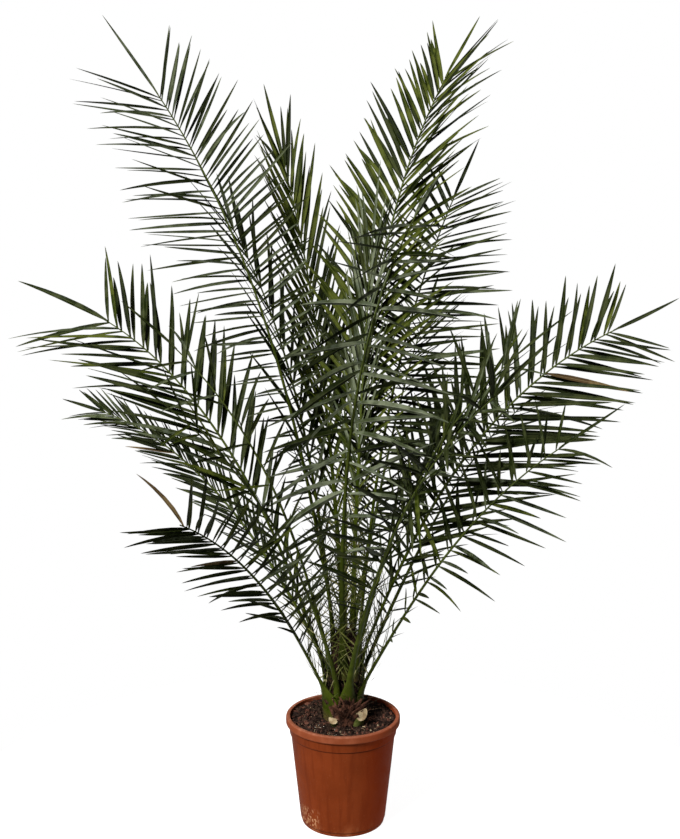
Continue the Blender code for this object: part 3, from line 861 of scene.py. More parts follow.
husk = chip_finish("red_husk", *HUSK_BROWN)
strip_shape = blade_shape("husk_strip_shape", (
    (0.0, 0.90, 0.22, 0.14), (0.25, 1.0, 0.30, 0.14), (0.5, 0.90, 0.22, 0.13),
    (0.75, 0.66, 0.16, 0.11), (0.92, 0.30, 0.05, 0.08),
))
strips = []
for k in range(HUSK_STRIPS):
    front = k < HUSK_FRONT_SHARE * HUSK_STRIPS
    out, across, up = seat_axes(chance.uniform(*(HUSK_FRONT if front else HUSK_SIDES)))
    along = turned_towards(up, out, chance.uniform(-8, 12)) + across * chance.uniform(-0.45, 0.45)
    along.normalize()
    length = HUSK_LENGTH * (chance.uniform(0.45, 1.0) if front else chance.uniform(0.3, 0.6))
    half = chance.uniform(*(HUSK_SLIVER if k % 4 else HUSK_FLAP))
    root = out * chance.uniform(*(HUSK_FRONT_RADII if front else HUSK_SIDE_RADII))
    root += up * (SOIL_TOP + chance.uniform(*HUSK_ROOTS))
    bend = (out * chance.uniform(-0.25, 0.40) + across * chance.uniform(-0.4, 0.4)) * length
    strips.append(Blade(root, along, square_to(-out, along), (half, length, half), bend))
strips = planted("husk_strips", strip_shape, strips, husk)
strips.data.shade_smooth()
strips.data.set_sharp_from_angle(angle=math.radians(50))
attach(strips, "root")
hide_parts("trunk")

# The whole trunk bristles with threads. Most lie close, and some have sprung loose.
THREADS = 1500
THREAD_WIDTH = 0.0008
THREAD_RINGS = 7
LOOSE_THREADS = 0.22
LOOSE_LENGTHS, LOOSE_LEANS = (0.03, 0.075), (20, 75)
CLOSE_LENGTHS, CLOSE_LEANS = (0.012, 0.045), (4, 26)
THREAD_BROWN = (0.016, 0.010, 0.007), (0.120, 0.078, 0.045)

hair = Finish("fibre_threads", Specular_IOR_Level=0.12)
tone = hair.ramp(hair.grain(120, 2), 0.35, 0.65)
hair.paint("Base Color", hair.blend(tone, *THREAD_BROWN))
hair.paint("Roughness", 0.7 + 0.2 * tone)
hair.relief(hair.grain(900, 2), 0.0004, 0.5)
thread_shape = blade_shape("thread_shape", tuple(
    (k / THREAD_RINGS, 1 - 0.6 * k / THREAD_RINGS, 0.0, 1 - 0.6 * k / THREAD_RINGS)
    for k in range(THREAD_RINGS)
))
threads = []
for k in range(THREADS):
    height = TRUNK_HEIGHT * chance.uniform(0.0, 1.0) ** 1.1
    bearing = chance.uniform(0, 360)
    out, across, up = seat_axes(bearing)
    loose = chance.random() < LOOSE_THREADS
    lean = chance.uniform(*(LOOSE_LEANS if loose else CLOSE_LEANS))
    along = turned_towards(up, out, lean) + across * chance.uniform(-0.7, 0.7)
    along.normalize()
    length = chance.uniform(*(LOOSE_LENGTHS if loose else CLOSE_LENGTHS))
    bend = Vector([chance.uniform(-0.5, 0.5) * length for axis in range(3)])
    root = seat_point(bearing, height, 0.002)
    size = (THREAD_WIDTH / 2, length, THREAD_WIDTH / 2)
    threads.append(Blade(root, along, square_to(out, along), size, bend))
threads = planted("fibre_threads", thread_shape, threads, hair.material)
threads.data.shade_smooth()
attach(threads, "root")
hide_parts("trunk")

# --- Cut stubs -------------------------------------------------------------------------------
# The oldest fronds were cut off with secateurs close to the soil. Each left a stub with a
# green back and a pale, stringy cut face that dries and darkens at its rim.

STUB_THICKNESS = 0.62           # against its width
STUB_SIDES = 20
# The taper, as parts of the length and of the width, and how squarely the section is rounded.
STUB_TAPER = (0.0, 1.08), (0.2, 1.04), (0.45, 0.98), (0.7, 0.92), (0.92, 0.86), (1.0, 0.84)
STUB_SQUARE = 0.8
STUB_INNER, STUB_OUTER = 0.5, 0.62
STUB_CURL = 0.22                # how far its edges wrap the trunk
STUB_SHRINK = 0.0012            # how far the dry middle of the cut has sunk in
STUB_GREEN = (0.040, 0.055, 0.008), (0.090, 0.100, 0.022)
STUB_LINE = (0.130, 0.105, 0.040)
PITH_CREAM = (0.240, 0.165, 0.085), (0.430, 0.345, 0.205)
PITH_BUNDLE = (0.170, 0.100, 0.045)
# Bearing and seat are as for a frond, and the lean is from upright. The slant is how far the
# cut slopes down to the outside, and the skew how far sideways.
Stub = namedtuple("Stub", "name bearing seat lean length width slant skew")
STUBS = [
    Stub("cut_stub_front_right", 304, 0.010, 34, 0.054, 0.036, 0.014, -0.007),
    Stub("cut_stub_front_left", 250, 0.0135, 46, 0.038, 0.027, 0.002, 0.0045),
    Stub("cut_stub_back", 66, 0.011, 36, 0.040, 0.030, 0.010, 0.0045),
]

peel = Finish("stub_green", Specular_IOR_Level=0.2)
tone = peel.ramp(peel.grain(70, 3), 0.36, 0.66)
line = peel.grain(420, 2, (1, 1, 0.2))
base = peel.blend(tone, *STUB_GREEN)
base = peel.blend(peel.ramp(line, 0.55, 0.70) * 0.5, base, STUB_LINE)
peel.paint("Base Color", base)
peel.paint("Roughness", 0.5 + 0.2 * tone)
peel.relief(line, 0.0006, 0.6)

pith = Finish("stub_cut_face", Specular_IOR_Level=0.3)
bundle = pith.ramp(pith.cells(900), 0.15, 0.5)
tone = pith.ramp(pith.grain(90, 3), 0.38, 0.66)
base = pith.blend(tone, *PITH_CREAM)
base = pith.blend((1 - bundle) * 0.5, base, PITH_BUNDLE)
pith.paint("Base Color", base)
pith.paint("Roughness", 0.75 + 0.1 * tone)
pith.relief(bundle, 0.0006, 0.8)

for stub in STUBS:
    out, across, up = seat_axes(stub.bearing)
    along = turned_towards(up, out, stub.lean)
    face = across.cross(along)
    thickness = STUB_THICKNESS * stub.width
    start = seat_point(stub.bearing, stub.seat, 0.0) - face * thickness / 2
    shape = bmesh.new()
    rings = []
    for share, scale in STUB_TAPER:
        ring = []
        for j in range(STUB_SIDES):
            turn = 2 * math.pi * j / STUB_SIDES
            x = math.copysign(abs(math.cos(turn)) ** STUB_SQUARE, math.cos(turn))
            y = math.sin(turn)
            y = STUB_INNER * y if y > 0 else STUB_OUTER * y
            y += STUB_CURL * x * x
            sloped = along * share * (stub.skew * x + stub.slant * y)
            place = start + along * stub.length * share
            place += sloped + across * x * stub.width * scale / 2
            ring.append(shape.verts.new(place + face * y * thickness * scale))
        rings.append(ring)
    bridge(shape, rings)
    for ring, sunk in ((rings[0], 0.0), (rings[-1], STUB_SHRINK)):
        middle = sum((vertex.co for vertex in ring), Vector()) / STUB_SIDES - along * sunk
        caps = close_ring(shape, ring, middle)
    for cap in caps:
        cap.material_index = 1
    mesh = mesh_of(shape, stub.name + "_cut")
    mesh.materials.append(peel.material)
    mesh.materials.append(pith.material)
    piece = put_in_scene(stub.name + "_cut", mesh)
    piece.data.shade_smooth()
    piece.data.set_sharp_from_angle(angle=math.radians(45))
    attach(piece, "root")
    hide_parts(stub.name)

# --- Frond stalks ----------------------------------------------------------------------------
# Each living frond is carried by one tough stalk. It wraps the trunk with a broad, crescent
# foot, narrows to a stalk that is flat above and keeled below, and runs out in a fine rib.

STALK_BEND = 0.14               # part of its length in which it leaves the trunk
TWIST_START = 0.08              # part at which its blade begins to roll
TWIST_REACH = 0.50              # and over which it rolls
RIB_OUTER_FOOT = 0.043          # the foot's width on the lowest seat
RIB_INNER_FOOT = 0.017          # and on the highest
RIB_FOOT_TOP = (0.020, 0.120)   # distances in which the foot narrows to the stalk
RIB_FOOT_CURL = 0.16            # how far its edges wrap the trunk
RIB_STALK_WIDTH = 0.015
RIB_TIP_WIDTH = 0.0030
RIB_BASE_THICKNESS = 0.012
RIB_STALK_THICKNESS = 0.011
RIB_TIP_THICKNESS = 0.0026
RIB_TAPER = 0.65                # below one, it thins most in its lower part
RIB_FLAT = 0.34                 # parts of its thickness above and below its widest line
RIB_KEEL = 0.66
LOW_SEAT = 0.06                 # the feet below this height reach down into the soil
SUNK_FOOT = 0.016
RIB_RINGS = 56
RIB_RING_CROWDING = 1.3         # above one, the rings stand closer at the foot
RIB_SIDES = 14
RIND_GREEN = (0.015, 0.024, 0.0012), (0.034, 0.048, 0.003)
RIND_LINE = (0.058, 0.070, 0.008)
RIND_EDGE = (0.110, 0.105, 0.026)
RIND_FOOT = (0.105, 0.058, 0.028)
RIND_TIP = (0.075, 0.095, 0.026)

# A frond's bearing is the side of the trunk that it grows from, in degrees from +X towards
# +Y. Its seat is a height on the trunk above the soil. The leans are degrees from upright at
# its foot, above the stalk's bend and at its tip. The sweep turns its heading, and the twist
# rolls its blade, in degrees from foot to tip. The last two say how broad its foot and how
# stout its stalk is, against the sizes above.
Frond = namedtuple("Frond", "name bearing seat foot stem tip length sweep twist "
                   "foot_breadth stoutness")
FRONDS = [
    Frond("left_low", 217, 0.024, 0, 27, 64, 0.77, 9, -107, 2.00, 1.00),
    Frond("right_low", 334, 0.024, -2, 28, 54, 0.95, -4, 45, 1.35, 1.00),
    Frond("front_right", 283, 0.030, 3, 27, 54, 1.15, 28, 30, 1.35, 1.50),
    Frond("left_mid", 167, 0.045, 0, 19, 68, 1.25, -17, -40, 1.00, 1.00),
    Frond("back_left_low", 126, 0.024, 5, 44, 79, 1.22, 25, -60, 1.00, 1.00),
    Frond("back_right_low", 42, 0.026, 5, 34, 72, 1.05, 8, 15, 1.00, 1.00),
    Frond("back_low", 88, 0.065, 4, 31, 68, 1.10, 4, 0, 1.00, 1.00),
    Frond("right_mid", 5, 0.080, -2, 21, 65, 1.20, -8, 61, 1.00, 1.00),
    Frond("front_arching", 262, 0.132, 3, 14, 41, 1.30, 44, -30, 1.00, 1.25),
    Frond("left_inner", 198, 0.120, 3, 14, 46, 0.98, -14, -45, 1.00, 1.00),
    Frond("front_left", 248, 0.055, 4, 25, 50, 1.00, -40, -40, 0.55, 1.00),
    Frond("right_inner", 315, 0.125, 4, 16, 48, 0.98, 34, 40, 1.00, 1.00),
    Frond("back_right", 66, 0.140, 4, 28, 51, 1.09, 3, 0, 1.00, 1.00),
    Frond("back_left", 134, 0.140, 4, 8, 33, 1.22, 21, -20, 1.00, 1.00),
    Frond("right_back", 8, 0.170, 2, 5, 32, 1.25, 34, 24, 1.00, 1.00),
    Frond("left_tall", 166, 0.195, 2, 10, 36, 1.53, -1, -45, 1.00, 1.20),
    Frond("back_upright", 106, 0.215, 2, 12, 27, 1.31, 18, -10, 1.00, 1.25),
    Frond("right_tall", 52, 0.235, 1, 2, 39, 1.53, -8, 8, 1.00, 1.25),
]
frond_names = ["frond_" + frond.name for frond in FRONDS]
# The newest frond is still half closed, a spear that stands in the heart of the crown.
FRONDS.append(Frond("spear", 52, 0.250, 1, 3, 8, 0.98, 0, 0, 1.00, 1.00))


def frond_frame(frond, t):
    """Heading, blade normal and sideways direction at a part t of the frond's length."""
    bend = smooth_step(t / STALK_BEND)
    lean = mix(frond.foot, frond.stem, bend) + (frond.tip - frond.stem) * t * t
    out, across, up = seat_axes(frond.bearing + frond.sweep * t)
    roll = frond.twist * smooth_step((t - TWIST_START) / TWIST_REACH)
    along = turned_towards(up, out, lean)
    flat = turned_towards(-out, up, lean)
    normal = turned_towards(flat, across, roll)
    return along, normal, along.cross(normal)


def frond_path(frond, steps=120):
    """Points along the middle of the rib, at equal parts of its length."""
    points = [seat_point(frond.bearing, frond.seat, RIB_BASE_THICKNESS / 2)]
    for k in range(steps):
        along = frond_frame(frond, (k + 0.5) / steps)[0]
        points.append(points[-1] + along * frond.length / steps)
    return points


def at_part(points, t):
    """The point at a part t of a path."""
    place = min(max(t, 0.0), 1.0) * (len(points) - 1)
    k = min(int(place), len(points) - 2)
    return points[k].lerp(points[k + 1], place - k)


def rib_size(frond, t):
    """Width and thickness of the rib, and how much of them belongs to its broad foot."""
    broad = mix(RIB_OUTER_FOOT, RIB_INNER_FOOT, frond.seat / TRUNK_HEIGHT)
    broad *= frond.foot_breadth
    low, high = RIB_FOOT_TOP
    foot = 1 - smooth_step((t * frond.length - low) / (high - low))
    width = RIB_STALK_WIDTH * mix(frond.stoutness, 1.0, min(1.0, t * 2))
    width = mix(width, RIB_TIP_WIDTH, t ** RIB_TAPER)
    thickness = mix(RIB_STALK_THICKNESS, RIB_TIP_THICKNESS, t ** RIB_TAPER)
    return mix(width, broad, foot), mix(thickness, RIB_BASE_THICKNESS, foot), foot


paths = {frond.name: frond_path(frond) for frond in FRONDS}
rib_lines = {"points": [], "edges": [], "across": [], "face": [], "wide": [], "thick": [],
             "curl": [], "reach": []}
for frond in FRONDS:
    for k in range(RIB_RINGS):
        t = (k / (RIB_RINGS - 1)) ** RIB_RING_CROWDING
        along, normal, across = frond_frame(frond, t)
        width, thickness, foot = rib_size(frond, t)
        if k:
            rib_lines["edges"].append((len(rib_lines["points"]) - 1, len(rib_lines["points"])))
        place = at_part(paths[frond.name], t)
        if k == 0 and frond.seat < LOW_SEAT:
            place = place - Vector((0.0, 0.0, SUNK_FOOT))
        rib_lines["points"].append(tuple(place))
        rib_lines["across"] += list(across)
        rib_lines["face"] += list(normal)
        rib_lines["wide"].append(width)
        rib_lines["thick"].append(thickness)
        rib_lines["curl"].append(foot * RIB_FOOT_CURL)
        rib_lines["reach"].append(t)
rib_mesh = bpy.data.meshes.new("frond_stalks")
rib_mesh.from_pydata(rib_lines["points"], rib_lines["edges"], [])
for label in ("across", "face"):
    layer = rib_mesh.attributes.new(label, "FLOAT_VECTOR", "POINT")
    layer.data.foreach_set("vector", rib_lines[label])
middle = rib_mesh.attributes.new("middle", "FLOAT_VECTOR", "POINT")
middle.data.foreach_set("vector", [x for point in rib_lines["points"] for x in point])
for label in ("wide", "thick", "curl", "reach"):
    layer = rib_mesh.attributes.new(label, "FLOAT", "POINT")
    layer.data.foreach_set("value", rib_lines[label])

sweep, given = tree_with("stalks_along_paths", {
    "Sides": "Int", "Flat above": "Float", "Keel below": "Float", "Finish": "Material",
})


def vector_sum(board, operation, *values):
    """A sum of vectors, or the number that a dot product gives."""
    output = 1 if operation == "DOT_PRODUCT" else 0
    return board.node(
        "ShaderNodeVectorMath", {"operation": operation}, dict(enumerate(values)), output
    )


lines = sweep.node("GeometryNodeMeshToCurve", None, {"Mesh": given["Geometry"]})
lines = sweep.node("GeometryNodeSetCurveNormal", {"mode": "FREE"}, {
    "Curve": lines, "Normal": read(sweep, "face", "FLOAT_VECTOR"),
})
ring = sweep.node("GeometryNodeCurvePrimitiveCircle", None, {
    "Resolution": given["Sides"], "Radius": 1.0,
}, "Curve")
stalks = sweep.node("GeometryNodeCurveToMesh", None, {
    "Curve": lines, "Profile Curve": ring, "Fill Caps": True,
})
middle = read(sweep, "middle", "FLOAT_VECTOR")
across = read(sweep, "across", "FLOAT_VECTOR")
face = read(sweep, "face", "FLOAT_VECTOR")
offset = vector_sum(sweep, "SUBTRACT", sweep.node("GeometryNodeInputPosition"), middle)
x = vector_sum(sweep, "DOT_PRODUCT", offset, across)
y = vector_sum(sweep, "DOT_PRODUCT", offset, face)
above = y > 0
deep = y * (above * given["Flat above"] + (1 - above) * given["Keel below"])
wide = read(sweep, "wide")
rise = deep * read(sweep, "thick") + read(sweep, "curl") * x * x * wide
place = vector_sum(sweep, "ADD", middle, vector_sum(
    sweep, "ADD", scaled(sweep, across, x * wide * 0.5), scaled(sweep, face, rise)
))
stalks = sweep.node("GeometryNodeSetPosition", None, {"Geometry": stalks, "Position": place})
stalks = sweep.node("GeometryNodeStoreNamedAttribute", {"data_type": "FLOAT", "domain": "POINT"}, {
    "Geometry": stalks, "Name": "around", "Value": x,
})
stalks = sweep.node("GeometryNodeRealizeInstances", None, {"Geometry": stalks})
stalks = sweep.node("GeometryNodeSetMaterial", None, {
    "Geometry": stalks, "Material": given["Finish"],
})
stalk_tree = close_tree(sweep, stalks)

rind = Finish("stalk_rind", Specular_IOR_Level=0.04)
reach = rind.node("ShaderNodeAttribute", {"attribute_name": "reach"}, None, "Fac")
around = rind.node("ShaderNodeAttribute", {"attribute_name": "around"}, None, "Fac")
line = rind.node("ShaderNodeTexNoise", None, {
    "Vector": rind.node("ShaderNodeCombineXYZ", None, {"X": around * 7, "Y": reach * 16}),
    "Scale": 1.0, "Detail": 3.0,
})
line = rind.ramp(line, 0.38, 0.64)
tone = rind.ramp(rind.grain(26, 3), 0.36, 0.66)
base = rind.blend(tone, *RIND_GREEN)
base = rind.blend(line * 0.45, base, RIND_LINE)
edge = rind.ramp(around * around, 0.62, 0.95)
base = rind.blend(edge * 0.45 * (1 - reach), base, RIND_EDGE)
foot = 1 - rind.ramp(reach, 0.0, 0.035)
base = rind.blend(foot * (0.35 + 0.5 * line), base, RIND_FOOT)
base = rind.blend(rind.ramp(reach, 0.25, 0.9) * 0.6, base, RIND_TIP)
rind.paint("Base Color", base)
rind.paint("Roughness", 0.40 + 0.15 * line + 0.2 * foot)
rind.relief(line, 0.0006, 0.5)

stalks = grown("frond_stalks", rib_mesh, stalk_tree, {
    "Sides": RIB_SIDES, "Flat above": RIB_FLAT, "Keel below": RIB_KEEL, "Finish": rind.material,
})
stalks.data.shade_smooth()
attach(stalks, "root")
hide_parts(*frond_names)

# --- Spines ----------------------------------------------------------------------------------
# The lowest leaflets of each frond never open. They are stiff, pale green needles that stand
# out from both edges of the stalk and cross in front of the trunk.

SPINES_PER_METRE = 62
SPINE_REACH = (0.075, 0.235)    # part of the rib's length that carries them
SPINE_LENGTHS = (0.045, 0.150)  # of the first and the last
SPINE_WIDTH = 0.0028
SPINE_RAISES = (8, 40, 62)      # degrees above the stalk's edges, in one of three ranks
SPINE_LEANS = (22, 64)          # degrees from the stalk's own direction
SPINE_SEAT = 0.40               # how far out on the stalk's width they stand
NEEDLE_GREEN = (0.028, 0.036, 0.005), (0.095, 0.100, 0.024)
NEEDLE_DRY = (0.290, 0.260, 0.120)

needle = Finish("spine_needle", Specular_IOR_Level=0.08)
tone = needle.ramp(needle.grain(60, 2), 0.35, 0.65)
base = needle.blend(tone, *NEEDLE_GREEN)
base = needle.blend(needle.ramp(needle.grain(23, 2), 0.56, 0.68), base, NEEDLE_DRY)
needle.paint("Base Color", base)
needle.paint("Roughness", 0.40 + 0.15 * tone)
needle.relief(needle.grain(600, 2), 0.0003, 0.4)
needle_shape = blade_shape("needle_shape", (
    (0.0, 1.0, 0.5, 0.7), (0.12, 1.0, 0.4, 0.6), (0.45, 0.85, 0.3, 0.5), (0.75, 0.5, 0.15, 0.3),
    (0.93, 0.22, 0.05, 0.12),
))
chance = random.Random(55)
spines = []
for frond in FRONDS:
    count = round(SPINES_PER_METRE * frond.length * (SPINE_REACH[1] - SPINE_REACH[0]))
    for k in range(count):
        for side in (-1, 1):
            share = (k + chance.uniform(0.2, 0.8)) / count
            t = mix(*SPINE_REACH, share)
            heading, normal, across = frond_frame(frond, t)
            raised = chance.choice(SPINE_RAISES) + chance.uniform(-8, 8)
            outward = turned_towards(across * side, normal, raised)
            along = turned_towards(heading, outward, chance.uniform(*SPINE_LEANS))
            width = rib_size(frond, t)[0]
            root = at_part(paths[frond.name], t) + across * side * width * SPINE_SEAT
            length = mix(*SPINE_LENGTHS, share) * chance.uniform(0.6, 1.1)
            size = (SPINE_WIDTH / 2 * chance.uniform(0.8, 1.5), length, SPINE_WIDTH / 2)
            bend = Vector([chance.uniform(-0.05, 0.05) * length for axis in range(3)])
            spines.append(Blade(root, along, square_to(normal, along), size, bend))
spines = planted("stalk_spines", needle_shape, spines, needle.material)
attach(spines, "root")
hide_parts(*frond_names)

# --- Leaflets --------------------------------------------------------------------------------
# Stiff, folded blades stand in two ranks along each rib, in pairs that lie at slightly
# different angles. Each is a narrow V with a long point. The young fronds are a bright yellow
# green, and a few blades have dried to straw. Painted shade makes the fronds at the back and
# some stray leaflets near-black, and painted sheen makes others grey, with grey patches.

FIRST_LEAFLET = 0.22            # part of the rib's length where they begin
LAST_LEAFLET = 0.985
LEAFLETS_PER_METRE = 47         # on each side, times how close they stand on that frond
LEAFLET_LENGTH = 0.275          # from which a leaflet has its full width
LEAFLET_WIDTH = 0.0122
LEAFLET_SLIMMEST = 0.45         # width of the very shortest, against the full one
LEAFLET_SIZES = (0.88, 1.14), (0.80, 1.15)  # how lengths and widths vary
LEAFLET_RAISES = (-10, 10)      # degrees by which every other pair lies lower or higher
LEAFLET_SEAT = 0.30             # how far out on the rib's width they stand
LEAFLET_ROLL = 20               # degrees by which their faces turn towards the frond's tip
ROLL_SPREAD = 25
PAIR_CLOSENESS = 0.20           # how far the leaflets of two pairs draw together
RANK_SHIFT = 0.1                # how far one rank stands ahead of the other
TIP_CROWDING = 0.84             # below one, leaflets stand closer together towards the tip
FIRST_LENGTH = 0.28             # of the lowest leaflets, against the longest
LATE_CLOSING = 3.5              # the higher, the nearer the tip the leaflets begin to close up
WIDEST_OPENING = 86
TIP_LEAFLET = 1.18              # length of the one that ends the rib, against its neighbours
TIP_SAG = 0.02
LIMP_SHARE = 0.06               # leaflets that have lost their stiffness
LIMP_SAG = 3
BLADE_WARP = 0.05
STRAY_SHARE = 0.36              # leaflets of another colour than most on their frond
VEINS = 14
# Painted sheen: the pale grey that stands for sky reflected on the leaflets.
PAINTED_SHEEN = (0.150, 0.175, 0.135)
DRY_TIP = "left_low"            # the last leaflet of this frond has dried up and curls
DRY_TIP_LENGTH = 0.160
DRY_TIP_WAY = (-0.42, -0.05, 0.90)
DRY_TIP_CURL = (-0.038, 0.01, -0.022)
DRY_TIP_BREADTH = 0.84

# What each frond's leaflets are like. Lift is how far they stand up from the blade, open_low
# and open_tip how far they open from the rib at the stalk and at the tip, and lopsided how
# much further one rank opens than the other, in degrees. Long_low and long_tip are lengths.
# Close and broad scale how close together they stand and how broad they are. Gain is the part
# of the rib in which they reach their length. Limp is how far they sag towards their tips, and
# hang how far each hangs as a whole. Dry is the share that has turned to straw, wander how
# many degrees they stray, and tint the leaf colour that most of them have.
# The dark tint is painted shade, given to the fronds at the back that stand in shadow, and the
# grey and silver tints are painted sheen.
Foliage = namedtuple("Foliage", "lift open_low open_tip lopsided long_low long_tip close broad "
                     "gain limp hang dry wander tint")
FOLIAGE = {name: Foliage(*traits) for name, *traits in (
    ("left_low", 38, 54, 33, 14, 0.22, 0.20, 1.20, 0.85, 0.32, 0.10, 0, 0.035, 4, "green"),
    ("right_low", -2, 80, 54, -20, 0.25, 0.16, 0.78, 1.00, 0.60, 0.10, 0, 0.002, 4, "green"),
    ("front_right", 14, 64, 40, 0, 0.24, 0.18, 0.80, 1.00, 0.32, 0.10, 0, 0.02, 17, "green"),
    ("left_mid", -2, 39, 42, 1, 0.30, 0.28, 0.72, 1.35, 0.55, 0.10, 0, 0.002, 4, "green"),
    ("back_left_low", 14, 24, 20, 0, 0.18, 0.14, 1.00, 1.00, 0.32, 0.10, 0, 0.02, 4, "dark"),
    ("back_right_low", 14, 62, 40, 0, 0.20, 0.16, 0.70, 1.00, 0.32, 0.10, 0, 0.002, 4, "dark"),
    ("back_low", 14, 62, 40, 0, 0.20, 0.16, 0.60, 1.00, 0.32, 0.10, 0, 0.002, 4, "dark"),
    ("right_mid", -4, 50, 45, 0, 0.34, 0.158, 0.95, 1.20, 0.32, 0.10, 0, 0.002, 4, "green"),
    ("front_arching", -2, 62, 40, 24, 0.26, 0.10, 0.50, 1.5, 0.32, 0.20, 0.6, 0.002, 17, "silver"),
    ("left_inner", 14, 58, 40, 0, 0.19, 0.15, 0.34, 1.00, 0.60, 0.22, 0, 0.002, 17, "green"),
    ("front_left", 14, 58, 40, 0, 0.18, 0.15, 0.34, 1.00, 0.60, 0.10, 0, 0.002, 17, "green"),
    ("right_inner", 14, 58, 40, 0, 0.20, 0.16, 0.66, 1.00, 0.32, 0.10, 0, 0.002, 17, "green"),
    ("back_right", 14, 58, 38, 0, 0.22, 0.18, 0.75, 1.00, 0.32, 0.10, 0, 0.002, 4, "dark"),
    ("back_left", 10, 22, 15, 0, 0.24, 0.20, 0.42, 1.00, 0.32, 0.10, 0, 0.002, 4, "dark"),
    ("right_back", -9, 81, 41, 1, 0.27, 0.16, 1.24, 0.95, 0.32, 0.10, 0, 0.002, 4, "dark"),
    ("left_tall", 6, 77, 44, -4, 0.27, 0.205, 1.25, 0.82, 0.76, 0.10, 0, 0.002, 4, "grey"),
    ("back_upright", 10, 22, 13, 0, 0.27, 0.22, 0.86, 1.00, 0.32, 0.10, 0, 0.002, 4, "bright"),
    ("right_tall", 13, 47, 35, 3, 0.285, 0.205, 1.22, 1.08, 0.32, 0.10, 0, 0.002, 4, "bright"),
    ("spear", 8, 18, 12, 0, 0.24, 0.22, 0.90, 0.78, 0.32, 0.10, 0, 0.002, 4, "silver"),
)}

leaflet_shape = blade_shape("leaflet_shape", (
    (0.0, 0.30, 0.34, 0.09), (0.04, 0.42, 0.42, 0.08), (0.14, 0.80, 0.50, 0.07),
    (0.30, 1.0, 0.46, 0.06), (0.50, 0.95, 0.36, 0.055), (0.70, 0.74, 0.24, 0.05),
    (0.86, 0.46, 0.12, 0.04), (0.96, 0.20, 0.04, 0.03),
))


def leaf_finish(name, dark, light, rib, gloss, sheen):
    """A leaf's finish: two close greens, a paler fold, fine veins and patches of painted sheen."""
    leaf = Finish(name, Specular_IOR_Level=0.035)
    across = leaf.node("ShaderNodeSeparateXYZ", None, {
        "Vector": leaf.node("ShaderNodeUVMap", {"uv_map": "blade"}),
    }, "X")
    tone = leaf.ramp(leaf.grain(17, 3), 0.42, 0.59)
    fleck = leaf.ramp(leaf.grain(160, 3), 0.60, 0.74)
    base = leaf.blend(tone, dark, light)
    fold = 1 - leaf.ramp(leaf.sum("ABSOLUTE", across - 0.5), 0.02, 0.09)
    base = leaf.blend(fold * 0.5, base, rib)
    # Painted sheen: grey patches that stand for sky reflected on the blade.
    sheen_patches = leaf.ramp(leaf.grain(48, 4), 0.45, 0.75)
    base = leaf.blend(sheen_patches * sheen, base, PAINTED_SHEEN)
    base = leaf.blend(fleck * 0.25, base, rib)
    leaf.paint("Base Color", base)
    leaf.paint("Roughness", gloss + 0.12 * tone + 0.15 * sheen_patches)
    vein = leaf.sum("SINE", across * (2 * math.pi * VEINS))
    leaf.relief(0.5 * vein + fold, 0.0003, 0.5)
    return leaf.material


# Each leaf colour: two greens, the paler fold, how rough it is and how much painted sheen lies on
# it. The grey and silver colours are painted sheen throughout.
# The dark colour is near-black painted shade.
LEAF_COLOURS = {
    "dark": ((0.0035, 0.0058, 0.0005), (0.014, 0.018, 0.005), (0.036, 0.046, 0.014), 0.40, 0.03),
    "green": ((0.007, 0.0115, 0.0008), (0.028, 0.034, 0.010), (0.064, 0.074, 0.024), 0.40, 0.06),
    "grey": ((0.018, 0.025, 0.007), (0.066, 0.078, 0.037), (0.125, 0.140, 0.080), 0.42, 0.34),
    "bright": ((0.015, 0.023, 0.001), (0.058, 0.070, 0.010), (0.108, 0.120, 0.028), 0.38, 0.03),
    "silver": ((0.040, 0.051, 0.021), (0.134, 0.152, 0.090), (0.190, 0.205, 0.140), 0.40, 0.40),
    "straw": ((0.050, 0.030, 0.012), (0.125, 0.085, 0.036), (0.190, 0.140, 0.070), 0.60, 0.03),
}
TINTS = {tint: leaf_finish("leaf_" + tint, *looks) for tint, looks in LEAF_COLOURS.items()}
# On a frond of one colour, the colours that single leaflets have instead.
# A stray to the dark colour is painted shade, and a stray to a grey colour is painted sheen.
STRAYS = {
    "dark": ("green", "grey"), "green": ("dark", "grey", "bright"), "grey": ("green", "dark"),
    "bright": ("green", "dark"), "silver": ("grey", "green", "dark"),
}


def leaflet_length(foliage, s):
    """Leaflets are short at the stalk, soon at their longest, and shorter at the tip."""
    rise = smooth_step(s / foliage.gain)
    return mix(FIRST_LENGTH, 1.0, rise) * mix(foliage.long_low, foliage.long_tip, s * s)


def leaflet_angle(foliage, s, side):
    """Degrees between a leaflet and the rib, which close up towards the frond's tip."""
    opened = mix(foliage.open_low, foliage.open_tip, s ** LATE_CLOSING)
    return min(opened + side * foliage.lopsided, WIDEST_OPENING)


def leaflet(root, along, normal, heading, length, broad, roll, sag, chance):
    """One leaflet as a blade, rolled so that its face turns a little towards the frond's tip."""
    face = square_to(normal, along)
    face = turned_towards(face, square_to(heading + along * 0.001, along), roll) if roll else face
    width = LEAFLET_WIDTH * mix(LEAFLET_SLIMMEST, 1.0, min(1.0, length / LEAFLET_LENGTH))
    width *= broad * chance.uniform(*LEAFLET_SIZES[1])
    bend = Vector((0, 0, -sag * length))
    bend += Vector([chance.uniform(-BLADE_WARP, BLADE_WARP) * length for axis in range(3)])
    return Blade(root, along, face, (width / 2, length, width / 2), bend)


